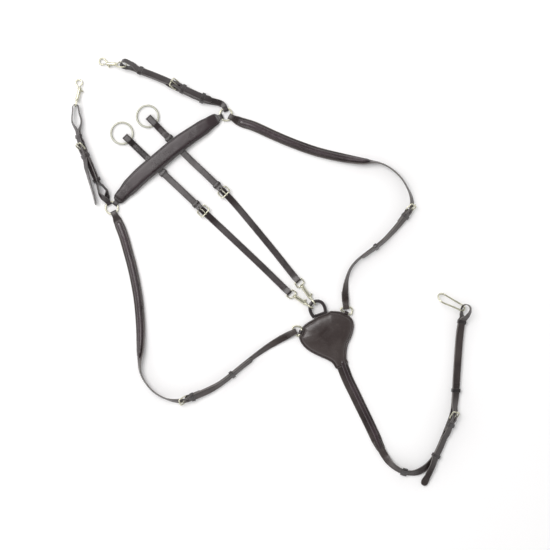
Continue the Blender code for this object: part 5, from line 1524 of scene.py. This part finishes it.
@dataclass
class SaddleStrap:
    """One saddle strap, doubled between neck ring and snap and buckled to itself."""

    side: Side
    route: Route
    buckle_point: Point
    tip_point: Point
    tie_point: Point
    keeper_point: Point
    hook_point: Point
    eye: Eye
    loop: float
    spread_by: float
    sag: float
    hook_turn: float
    tip_route: Route = ()
    belly: float = 14.0
    hook_height: float = 5.5

    def build(self, bench: Bench) -> None:
        """Make the strap, its buckle, keepers and snap."""
        name = self.side.value
        guide = Guide(self.route)
        buckle = Buckle(name + "_saddle", guide, self.buckle_point, 1, -0.6, 5.6)
        body = "saddle_strap_" + name
        self.leather(bench, guide, buckle, body)
        buckle.dress(bench, body, "saddle_buckle_" + name, "saddle_tongue_" + name)
        top = 0.4 + LEATHER / 2 if self.tip_route else 4.7
        slide = keeper(guide, guide.near(self.keeper_point), -5.5, top, 8.2, SLIDE)
        own = "saddle_keeper_" + name
        bench.make(name + "_saddle_keeper", slide, KEEPER_LEATHER, own, own)
        eye = guide.at(guide.length)
        target = place(*self.hook_point, self.hook_height)
        level = UP.cross(target - eye).normalized()
        normal = (target - eye).cross(level).normalized() * self.hook_turn
        snap = SnapHook(name + "_saddle_snap", eye, target, normal, guide.frame(guide.length)[2], True,
                        self.eye)
        snap.dress(bench, "saddle_snap_" + name, "saddle_snap_" + name, "saddle_bolt_" + name)

    def leather(self, bench: Bench, guide: Guide, buckle: Buckle, body: str) -> None:
        """Make the doubled strap with its stitching and its two sewn keepers."""
        name = self.side.value
        end_s, tie = guide.near(self.tip_point), guide.near(self.tie_point)
        hold = guide.near(self.keeper_point)
        turn, wide, apart = self.eye.turn, self.eye.leather, self.spread_by
        apex = guide.length + self.eye.slack - turn - SKIVED / 2
        middle = (tie + apex) / 2 + 2
        rows = buckle.chape(True, 0.4, -1.7, back=30.0)
        rows += [lay(hold - 5, 0.4), lay(hold - 8, 0.4), lay(hold * 0.66, 0.4 + apart * 0.6, 14, 2.0),
                 lay(hold * 0.45, 0.4 + apart, 13, 2.0), lay(hold * 0.25, 0.4 + apart * 0.9, 13, 2.0)]
        rows += ring_fold(0.0, 1, 0.0, self.sag, 11.0, True)
        rows += [lay(hold * 0.25, -4.1 - apart, 13, 2.0), lay(hold * 0.45, -4.1 - apart * 1.4, 13, 2.0),
                 lay(hold * 0.66, -4.1 - apart * 0.9, 14, 2.0), lay(hold - 8, -4.1), lay(hold - 5, -4.1),
                 lay(buckle.rear_s - 12, -4.2), lay(buckle.rear_s, -5.7), lay(buckle.front_s, -5.7),
                 lay(buckle.front_s + 14, -1.5), lay(tie + 4, -1.5), lay(tie + 7, -1.6),
                 lay(middle, -self.loop, self.belly, 2.0), lay(apex - 3, -turn, wide, SKIVED)]
        rows += fold(apex, 0, turn, 1, wide=wide, steps=12)
        rows += [lay(middle, self.loop, self.belly, 2.0), lay(tie + 7, 1.6)]
        back = [lay(tie + 4, 1.5), lay(buckle.front_s + 10, 1.5)]
        billet = [lay(buckle.front_s, 1.8), lay(buckle.rear_s, 4.1), lay(buckle.rear_s - 9, 3.3)]
        tail = None
        if self.tip_route:
            line = Guide(self.tip_route)
            billet.append(lay(buckle.rear_s - 16, 3.3))
            tail = (line, [lay(3, 3.6), lay(16, 4.2), lay(32, 3.0), lay(line.length - 14, 1.5),
                           *tip(line.length, 1.5, 1)])
        else:
            billet += tip(end_s, 3.3, -1)
        thing = piece(name + "_saddle_strap", strap(guide, rows + back + billet, tail=tail))
        buckle.cut_fold(thing)
        buckle.cut_billet(thing)
        bench.fit(thing, BRIDLE_LEATHER, body, "saddle_strap_" + name)
        bench.sew(name + "_saddle_stitching", edge_seams(guide, back), body)
        loop = keeper(guide, buckle.rear_s - 13, -4.6, 4.4)
        bench.make(name + "_saddle_fixed_keeper", loop, KEEPER_LEATHER, body)
        bench.make(name + "_saddle_loop_keeper", keeper(guide, tie, -1.5, 2.75, 8.2), KEEPER_LEATHER, body)


@dataclass
class ForkBranch:
    """One branch of the martingale fork, from its rein ring to the snap on the plate."""

    side: Side
    route: Route
    buckle_point: Point
    tip_point: Point
    keeper_point: Point
    catch_point: Point
    apex: float
    ring_radius: float = 22.9
    ring_wire: float = 2.1
    wide: float = 14.0
    middle: float = -1.6
    turn_radius: float = 4.2
    hole_points: Points = ()
    catch_height: float = 6.8 + 1.9 + 0.2

    def build(self, bench: Bench) -> None:
        """Make the two straps, the ring, the buckle and the snap."""
        name = self.side.value
        guide = Guide(self.route)
        buckle = Buckle(name + "_fork", guide, self.buckle_point, 1)
        body = "fork_" + name
        self.upper(bench, guide, buckle, body)
        self.lower(bench, guide, buckle, body)
        buckle.dress(bench, body, "fork_buckle_" + name, "fork_tongue_" + name)
        slide = keeper(guide, guide.near(self.keeper_point), LOW_FACE, TOP_FACE, self.wide / 2, SLIDE)
        own = "fork_keeper_" + name
        bench.make(name + "_fork_keeper", slide, KEEPER_LEATHER, own, own)
        centre = guide.at(0.0, self.middle) - guide.frame(0.0)[1] * (self.ring_radius * MM)
        bench.make(name + "_rein_ring", ring_of(centre, self.ring_radius, self.ring_wire, 96), DULL_BRASS,
                   "fork_ring_" + name, "fork_ring_" + name)
        eye = guide.at(guide.length)
        target = place(*self.catch_point, self.catch_height)
        normal = UP.cross(target - eye).normalized()
        snap = SnapHook(name + "_fork_snap", eye, target, normal, guide.frame(guide.length)[2], False)
        snap.dress(bench, body, "fork_snap_" + name, "fork_bolt_" + name)

    def upper(self, bench: Bench, guide: Guide, buckle: Buckle, body: str) -> None:
        """Make the strap from its loop round the rein ring to its fold round the buckle."""
        name, wide, mid, r = self.side.value, self.wide, self.middle, self.turn_radius
        rows = [lay(34, RETURN, wide, SKIVED), lay(12, RETURN, wide, SKIVED), lay(1, mid - r, wide, SKIVED)]
        rows += fold(-self.apex, mid, r, -1, wide=wide)
        rows += [lay(1, mid + r, wide, SKIVED)]
        flat = [lay(13, MAIN, wide), lay(buckle.rear_s - 9, MAIN, wide)]
        rows += [flat[0], *buckle.chape(False, wide=wide)]
        thing = piece(name + "_fork_upper_strap", strap(guide, rows))
        buckle.cut_fold(thing)
        bench.fit(thing, BRIDLE_LEATHER, body, "fork_upper_strap_" + name)
        bench.sew(name + "_fork_upper_stitching", edge_seams(guide, flat, 2.0), body)
        loop = keeper(guide, buckle.rear_s - 13, RETURN + GAP, TOP_FACE, wide / 2)
        bench.make(name + "_fork_fixed_keeper", loop, KEEPER_LEATHER, body)

    def lower(self, bench: Bench, guide: Guide, buckle: Buckle, body: str) -> None:
        """Make the strap from the snap's eye through the buckle to its billet's tip."""
        name, wide = self.side.value, self.wide
        end = guide.length
        eye_fold = EYE_WIRE + 0.5 + SKIVED / 2
        stop = guide.near(self.tip_point)
        rows = [lay(end - 34, -1.75, 13, SKIVED), lay(end - 8, -1.75, FOLD, SKIVED)]
        rows += fold(end, 0, eye_fold, 1)
        flat = [lay(end - 10, 0.3, wide), lay(buckle.front_s + 14, 0.3, wide)]
        billet = [lay(buckle.front_s, 1.4, wide), lay(buckle.rear_s, 3.5, wide),
                  lay(buckle.rear_s - 9, BILLET, wide), *tip(stop, BILLET, -1, wide)]
        thing = piece(name + "_fork_lower_strap", strap(guide, rows + flat + billet))
        buckle.cut_billet(thing)
        punched = [(guide.near(point), 0.3) for point in self.hole_points]
        punched += [(buckle.rear_s - d, BILLET) for d in (26.0, 44.0, 62.0)]
        holes(thing, guide, punched)
        bench.fit(thing, BRIDLE_LEATHER, body, "fork_lower_strap_" + name)
        bench.sew(name + "_fork_lower_stitching", edge_seams(guide, flat, 2.0), body)


@dataclass
class ChestPlate:
    """The chest plate: its lining, its stitched padded face, the rolled loop and the rings' tabs."""

    outline: Points
    spine: Points
    loop_route: Sequence[tuple[float, float, float]]
    loop_base: tuple[Point, Point]
    tabs: dict[Side, tuple[Point, Point]]
    loop_roll: float = 3.6
    lining_rise: float = 2.0
    face_low: float = 2.35
    rim_rise: float = 5.6
    dome_rise: float = 10.7

    def build(self, bench: Bench) -> None:
        """Make every piece of the plate."""
        self.base = Guide([Stop(*point, 0, 3.6) for point in self.loop_base])
        self.tab_guides = {side: Guide([Stop(*tab[1], 0, 4.1), Stop(*tab[0], 0, 4.1)])
                           for side, tab in self.tabs.items()}
        self.edge = [point.to_2d() for point in closed_curve([place(*p) for p in self.outline], 5)]
        lining = piece("plate_back", self.lining_mesh())
        bench.fit(lining, LINING_LEATHER, ROOT, "plate_lining")
        face = piece("plate_front", self.face_mesh(), 55)
        bench.fit(face, PLATE_LEATHER, ROOT, "plate_face", padded=0.8)
        bench.sew("plate_stitching", self.rim_seam(3.9, 3.4), ROOT)
        self.loop(bench)
        for side, guide in self.tab_guides.items():
            end = guide.length
            rows = [lay(0.5, -2.95, 9, SKIVED), *ring_fold(end, -1, 0, 0.0, 9)[:-1]]
            rows.append(lay(end - 2.9, RING_WIRE + GAP + SKIVED / 2, 9, SKIVED))
            bench.make(side.value + "_ring_tab", strap(guide, rows, spacing=2.0), BRIDLE_LEATHER,
                       ROOT)

    def held_back(self, spot: Vector, inset: float) -> Vector:
        """Move a point of the face clear of the loop's base and of the ring tabs' pockets."""
        point, reach = Vector((spot.x, spot.y, 0.0)), 9.0
        pockets = [(self.base.matrix(0.0), 1, 0.0, self.base.length, 2.2, 11.0)]
        pockets += [(tab.matrix(tab.length), 0, -4.5, 4.5, 3.2, 8.0) for tab in self.tab_guides.values()]
        for frame, axis, first, last, margin, fade in pockets:
            local = frame.inverted() @ point / MM
            past = max(first - local[1 - axis], local[1 - axis] - last, 0.0)
            deep = local[axis] + margin + inset
            if past < fade and deep > 0 and local[axis] < reach:
                local[axis] -= deep * soft_step(1 - past / fade)
                point = frame @ (local * MM)
        return point.to_2d()

    def ring_at(self, inset: float, height: float) -> list[Vector]:
        """Return the outline moved inwards by a distance, at a height."""
        ring = []
        count = len(self.edge)
        for index, point in enumerate(self.edge):
            along = (self.edge[(index + 2) % count] - self.edge[index - 2]).normalized()
            spot = point + Vector((along.y, -along.x)) * (inset * MM)
            spot = self.held_back(spot, inset)
            ring.append(Vector((spot.x, spot.y, height * MM)))
        return ring

    def lining_mesh(self) -> Shape:
        """Return the flat lining with its turned edge."""
        rings = [self.ring_at(inset, height) for inset, height in
                 ((2.0, 0.1), (1.35, 0.3), (1.2, 0.8), (1.2, 1.5), (1.5, self.lining_rise))]
        return shell(rings)

    def face_mesh(self) -> Shape:
        """Return the padded face: a rim, a pressed seam line inside it, and the dome."""
        low, rim, top = self.face_low, self.rim_rise, self.dome_rise
        rings = [self.ring_at(inset, height) for inset, height in (
            (1.2, low), (0.3, low + 0.15), (0.0, low + 0.7), (0.0, rim - 1.2), (0.25, rim - 0.4),
            (0.8, rim + 0.1), (1.7, rim + 0.35), (2.7, rim + 0.25), (3.4, rim - 0.15), (3.8, rim - 0.45),
            (4.2, rim - 0.35), (4.7, rim + 0.4), (5.4, rim + 1.4))]
        start = rings[-1]
        line = [place(*point).to_2d() for point in self.spine]
        targets = [self.nearest(point.to_2d(), line) for point in start]
        low, soft_within = rim + 1.4, 16.0
        for share, lift in ((0.08, 0.40), (0.18, 0.62), (0.30, 0.78), (0.45, 0.90), (0.62, 0.97),
                            (0.80, 1.0), (0.97, 1.0)):
            height = low + (top - rim - 1.4) * lift
            ring = []
            for point, target in zip(start, targets):
                flat = point.to_2d().lerp(target, share)
                soft = min(1.0, (point.to_2d() - target).length / MM / soft_within)
                ring.append(Vector((flat.x, flat.y, (low * (1 - soft) + height * soft) * MM)))
            rings.append(ring)
        return shell(rings)

    def nearest(self, point: Vector, line: Sequence[Vector]) -> Vector:
        """Return the nearest spot of a bent line to a point."""
        best, found = 1e9, line[0]
        for first, second in zip(line, line[1:]):
            run = second - first
            f = min(max((point - first).dot(run) / run.length_squared, 0.0), 1.0)
            spot = first + run * f
            if (point - spot).length < best:
                best, found = (point - spot).length, spot
        return found

    def rim_seam(self, inset: float, pitch: float) -> list[Stitch]:
        """Return the spots of the stitches in the pressed line round the plate."""
        ring = self.ring_at(inset, self.rim_rise - 0.3)
        return [(spot, heading, UP) for _, spot, heading in evenly(ring + ring[:1], pitch, 0.0)]

    def loop(self, bench: Bench) -> None:
        """Make the rolled leather half ring and the block that it is sewn down with."""
        points = [place(*row) for row in smooth(self.loop_route, 8)]
        roll = tube(points, self.loop_roll, UP, 24)
        foot = block(self.base.matrix(0.0), (0.0, -2.6, -3.3), (self.base.length, 2.6, 3.4), 0.8)
        thing = piece("plate_half_ring", roll)
        boolean(thing, foot, "UNION")
        bench.fit(thing, BRIDLE_LEATHER, ROOT, "plate_loop")


@dataclass
class GirthRun:
    """The plate's tail, the long girth strap with its buckle, and its spring clip."""

    route: Route
    tip_route: Route
    clip_body: Points
    clip_gate: Points
    tail_end: Point = (382.0, 450.5)
    buckle_point: Point = (451.0, 414.5)
    tail_keeper: Point = (404.0, 472.0)
    tip_keeper: Point = (435.2, 455.2)
    bands: Sequence[tuple[str, Point]] = (("lower", (455.0, 390.0)), ("upper", (461.0, 321.8)))
    clip_aim: Point = (437.2, 295.4)
    clip_wire: float = 2.0
    gate_wire: float = 1.7
    clip_off_centre: float = 3.4
    clip_height: float = 9.4
    clip_aim_height: float = 13.6
    clip_tilt: float = 52.0
    loop_turn: float = 10.5
    on_top: float = LEATHER + 0.5

    def build(self, bench: Bench) -> None:
        """Make every piece of the run."""
        guide = Guide(self.route)
        buckle = Buckle("girth", guide, self.buckle_point, 1, 5.2, 10.2)
        self.tail(bench, guide)
        self.main_strap(bench, guide, buckle)
        self.chape(bench, guide, buckle)
        buckle.dress(bench, ROOT, "girth_buckle", "girth_tongue")
        loop = keeper(guide, guide.near(self.tail_keeper), -1.1, 1.6, slack=1.1, wide=12.5)
        bench.make("girth_lower_keeper", loop, KEEPER_LEATHER, "girth_tail_keeper", "girth_tail_keeper")
        loop = keeper(guide, guide.near(self.tip_keeper), -1.1, self.on_top + 1.2, slack=SLIDE)
        bench.make("girth_billet_keeper", loop, BRIDLE_LEATHER, "girth_tip_keeper", "girth_tip_keeper")
        self.clip(bench, guide)

    def tail(self, bench: Bench, guide: Guide) -> None:
        """Make the plate's tail and the padded roll along it."""
        end = guide.near(self.tail_end)
        rows = [lay(-7.0, 0, 25), lay(42, 0, 24), lay(end - 30, 0, 23), lay(end - 6, 0, 19.5),
                lay(end - 1.2, 0, 17), lay(end, 0, 15, 2.0)]
        thing = piece("plate_tail", strap(guide, rows, Section(0.3, 0.0, 1.1)))
        bench.fit(thing, LIT_BRIDLE_LEATHER, ROOT, "tail_strap")
        bench.sew("tail_stitching", edge_seams(guide, rows[:4], 2.4, 3.8), ROOT)
        low, wide, tall, beside = 1.6, 10.0, 4.6, 2.6
        pad = []
        for share, at in ((0.3, 0.0), (0.7, 0.8), (0.9, 2.0), (1.0, 5.0)):
            pad.append(lay(at - 12, low + 1.4 + share + tall * share / 2, wide * (0.5 + 0.5 * share),
                           tall * share, beside))
        pad += [lay(8, low + tall / 2, wide, tall, beside), lay(end - 40, low + tall / 2, wide, tall, beside),
                lay(end - 22, 4.6, 8.5, 3.6, beside * 0.5), lay(end - 9, 5.0, 6.5, 2.2, 0.3),
                lay(end - 5, 4.8, 4.5, 1.0)]
        roll = piece("tail_padding", strap(guide, pad, Roll(2.1, 0.3), PAD_SPACING), PAD_SHARP)
        bench.fit(roll, PADDED_LEATHER, ROOT, "tail_pad", padded=0.8)

    def main_strap(self, bench: Bench, guide: Guide, buckle: Buckle) -> None:
        """Make the long strap from the tail, round the clip and back through the buckle."""
        tail_end, tip_keeper = guide.near(self.tail_end), guide.near(self.tip_keeper)
        end, top, turn, band = guide.length, self.on_top, self.loop_turn, guide.near(self.bands[-1][1])
        first = [lay(tail_end - 24, top, 15), lay(tail_end - 20, top, 16), lay(tail_end + 2, top),
                 lay(tail_end + 15, 0.1)]
        rows = [*first, lay(buckle.front_s + 20, 0.1), lay(band + 4, -0.5), lay(band + 8, -2.6),
                lay(band + 16, -8.4, 12, 2.0), lay(end - turn - 3, -turn, 9, 2.0)]
        rows += fold(end - turn, 0, turn, 1, thick=2.0, wide=9)
        rows += [lay(end - turn - 3, turn, 12, 2.0), lay(band + 16, 9.2, 14, 2.0), lay(band + 8, top + 2.0),
                 lay(band + 4, top + 0.6)]
        back = [lay(band, top + 0.1), lay(buckle.front_s + 14, top)]
        rows += [*back, lay(buckle.front_s, 6.2), lay(buckle.rear_s, 9.9), lay(buckle.rear_s - 9, 7.2),
                 lay(buckle.rear_s - 30, 6.4), lay(buckle.rear_s - 46, top), lay(tip_keeper - 5, top)]
        line = Guide(self.tip_route)
        _, over_keeper, past_keeper, _ = (line.near(stop[:2]) for stop in self.tip_route)
        ending = [lay(4, top + 0.4), lay(over_keeper, top + 2.4, 14.5), lay(past_keeper, 5.0, 13.5),
                  *tip(line.length, 1.8, 1)]
        thing = piece("girth_strap_leather", strap(guide, rows, tail=(line, ending)))
        buckle.cut_billet(thing)
        bench.fit(thing, LIT_BRIDLE_LEATHER, ROOT, "girth_strap")
        bench.sew("girth_join_stitching", edge_seams(guide, first[:3]), ROOT)
        bench.sew("girth_strap_stitching", edge_seams(guide, back[::-1]), ROOT)
        over = top + LEATHER / 2
        for name, point in self.bands:
            loop = keeper(guide, guide.near(point), -0.4, over)
            bench.make(f"girth_{name}_band", loop, KEEPER_LEATHER, ROOT)

    def chape(self, bench: Bench, guide: Guide, buckle: Buckle) -> None:
        """Make the short strap that holds the girth buckle, and its keeper."""
        low = LEATHER / 2 + 0.1 + GAP + SKIVED / 2
        high = low + SKIVED + 0.3
        rows = [lay(buckle.rear_s - 28, low, thick=SKIVED), lay(buckle.rear_s - 9, low, thick=SKIVED)]
        rows += fold(buckle.rear_s, buckle.rear, BAR + 0.4 + SKIVED / 2, 1, wide=STRAP)
        rows += [lay(buckle.rear_s - 9, high, thick=SKIVED), lay(buckle.rear_s - 28, high, thick=SKIVED)]
        thing = piece("girth_buckle_chape", strap(guide, rows))
        buckle.cut_fold(thing)
        bench.fit(thing, LIT_BRIDLE_LEATHER, ROOT, "girth_chape")
        loop = keeper(guide, buckle.rear_s - 14, high + GAP, 8.6)
        bench.make("girth_fixed_keeper", loop, KEEPER_LEATHER, ROOT)

    def clip(self, bench: Bench, guide: Guide) -> None:
        """Make the spring clip: its bent wire and its gate."""
        origin = guide.at(guide.length - self.loop_turn, -self.clip_off_centre)
        origin.z = self.clip_height * MM
        ahead = (place(*self.clip_aim, self.clip_aim_height) - origin).normalized()
        level = UP.cross(ahead).normalized()
        tilt = math.radians(self.clip_tilt)
        across = level * math.cos(tilt) + ahead.cross(level) * math.sin(tilt)
        over = ahead.cross(across)
        frame = Matrix.Translation(origin) @ Matrix((ahead, across, over)).transposed().to_4x4()
        points = [frame @ (Vector((x, y, 0.0)) * MM) for x, y in smooth(self.clip_body, 8)]
        bench.make("girth_spring_clip", tube(points, self.clip_wire, over), PALE_BRASS, "girth_clip",
                   "girth_clip")
        gate = [frame @ (Vector((x, y, 0.0)) * MM) for x, y in smooth(self.clip_gate, 6)]
        bench.make("girth_spring_gate", tube(gate, self.gate_wire, over), PALE_BRASS, "girth_gate",
                   "girth_clip_gate")


@dataclass
class Studio:
    """The pale floor, the soft light and the camera that looks straight down."""

    centre: tuple[float, float] = (0.00756, -0.0068)
    height: float = 3.5
    view_width: float = 1.1715
    overhead: float = 0.15
    around: float = 0.50
    low_dim: float = 1.25
    low_bright: float = 2.1
    lamp_power: float = 71.0
    lamp_size: float = 2.4
    lamp_colour: Colour = (1.0, 0.98, 0.98)
    lamp_place: tuple[float, float, float] = (-1.2, 0.9, 2.9)
    floor_half: float = 4.0
    floor_drop: float = 0.0002

    def build(self, bench: Bench) -> None:
        """Set up the floor, the lights and the camera."""
        self.floor(bench)
        self.light()
        self.camera()
        bpy.context.scene.view_settings.view_transform = "Standard"

    def floor(self, bench: Bench) -> None:
        """Lay a large pale floor under the object."""
        builder = bmesh.new()
        bmesh.ops.create_grid(builder, x_segments=4, y_segments=4, size=self.floor_half)
        bmesh.ops.translate(builder, vec=(0.0, 0.0, -self.floor_drop), verts=builder.verts)
        floor = piece("floor", builder)
        floor.data.materials.append(bench.shop.material(FLOOR))
        floor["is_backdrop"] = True

    def light(self) -> None:
        """Light the table with a low bright sky, darker overhead, and a soft lamp from the left."""
        world = bpy.data.worlds.new("studio")
        bpy.context.scene.world = world
        world.use_nodes = True
        tree = world.node_tree
        facing = node(tree, "TexCoord").outputs["Generated"]
        parts = node(tree, "SeparateXYZ", {0: facing}).outputs
        height = parts["Z"]
        leftward = maths(tree, "SUBTRACT", maths(tree, "MULTIPLY", parts["Y"], 0.5), parts["X"])
        low = mix(tree, ramp(tree, leftward, -1.0, 1.0), (self.low_dim,) * 3, (self.low_bright,) * 3)
        shade = mix(tree, ramp(tree, height, 0.30, 0.55), low, (self.around,) * 3)
        shade = mix(tree, ramp(tree, height, 0.88, 0.97), shade, (self.overhead,) * 3)
        feed(tree, tree.nodes["Background"], {"Color": shade})
        lamp = bpy.data.lights.new("key", "AREA")
        lamp.shape, lamp.size = "DISK", self.lamp_size
        lamp.energy, lamp.color = self.lamp_power, self.lamp_colour
        thing = stand("key", lamp)
        thing.location = self.lamp_place
        thing.rotation_euler = (-Vector(self.lamp_place)).to_track_quat("-Z", "Y").to_euler()

    def camera(self) -> None:
        """Hang the camera over the table, looking straight down."""
        lens = bpy.data.cameras.new("camera")
        lens.sensor_width = 36.0
        lens.lens = lens.sensor_width * self.height / self.view_width
        bpy.context.scene.camera = stand("camera", lens)
        bpy.context.scene.camera.location = (*self.centre, self.height)


def build(model: Sequence[Sequence[float]]) -> None:
    """Build every sub-assembly in order, dress it and set the stage."""
    bench = Bench(Workshop())
    assemblies = [
        ShoulderSide(Side.RIGHT, RIGHT_SIDE_ROUTE, RIGHT_PLATE_RING, buckle_point=(409.2, 207.6),
                     keeper_point=(375.5, 246.7), tip_point=(361.5, 257.6), pad_point=(371.5, 162.0)),
        ShoulderSide(Side.LEFT, LEFT_SIDE_ROUTE, LEFT_PLATE_RING, buckle_point=(183.5, 398.8),
                     keeper_point=(232.0, 374.0), tip_point=(251.5, 358.2), pad_point=(139.9, 360.0)),
        WithersBand(WITHER_ROUTE, {Side.LEFT: (112.0, 208.0), Side.RIGHT: (226.0, 114.6)}),
        SaddleStrap(Side.RIGHT, RIGHT_SADDLE_ROUTE, buckle_point=(174.5, 85.0), tip_point=(211.5, 103.4),
                    tie_point=(141.0, 71.2), keeper_point=(203.0, 99.6), hook_point=(102.6, 61.8),
                    eye=LONG_EYE, loop=5.6, spread_by=0.3, sag=3.9, hook_turn=1.0),
        SaddleStrap(Side.LEFT, LEFT_SADDLE_ROUTE, buckle_point=(82.4, 147.6), tip_point=(103.0, 194.4),
                    tie_point=(79.7, 136.9), keeper_point=(96.4, 180.5), hook_point=(79.3, 83.2),
                    eye=SHORT_EYE, loop=10.0, spread_by=5.8, sag=1.7, hook_turn=-1.0,
                    tip_route=LEFT_SADDLE_TIP_ROUTE, belly=9.5),
        ForkBranch(Side.LEFT, LEFT_FORK_ROUTE, buckle_point=(203.6, 211.2), tip_point=(146.0, 156.6),
                   keeper_point=(163.4, 173.2), catch_point=(309.9, 306.4), apex=10.0,
                   hole_points=[(209.5, 216.0), (212.7, 218.0), (221.9, 226.9)]),
        ForkBranch(Side.RIGHT, RIGHT_FORK_ROUTE, buckle_point=(224.0, 192.3), tip_point=(163.5, 132.6),
                   keeper_point=(169.5, 138.6), catch_point=(313.4, 301.9), apex=17.0,
                   hole_points=[(236.9, 207.3), (242.9, 213.0)]),
        ChestPlate(PLATE_OUTLINE, PLATE_SPINE, PLATE_LOOP_ROUTE, PLATE_LOOP_BASE,
                   {Side.RIGHT: ((346.2, 312.8), (344.5, 316.2)),
                    Side.LEFT: ((300.4, 332.0), (304.6, 333.6))}),
        GirthRun(GIRTH_ROUTE, GIRTH_TIP_ROUTE, CLIP_BODY, CLIP_GATE),
        Studio(),
    ]
    for assembly in assemblies:
        assembly.build(bench)
        LOG.info("%s built", type(assembly).__name__)
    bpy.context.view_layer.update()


def main() -> None:
    """Load the model as the frame and build the scene on it."""
    logging.basicConfig(level=logging.INFO, format="%(message)s")
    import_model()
    build(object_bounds())


if __name__ == "__main__":
    main()
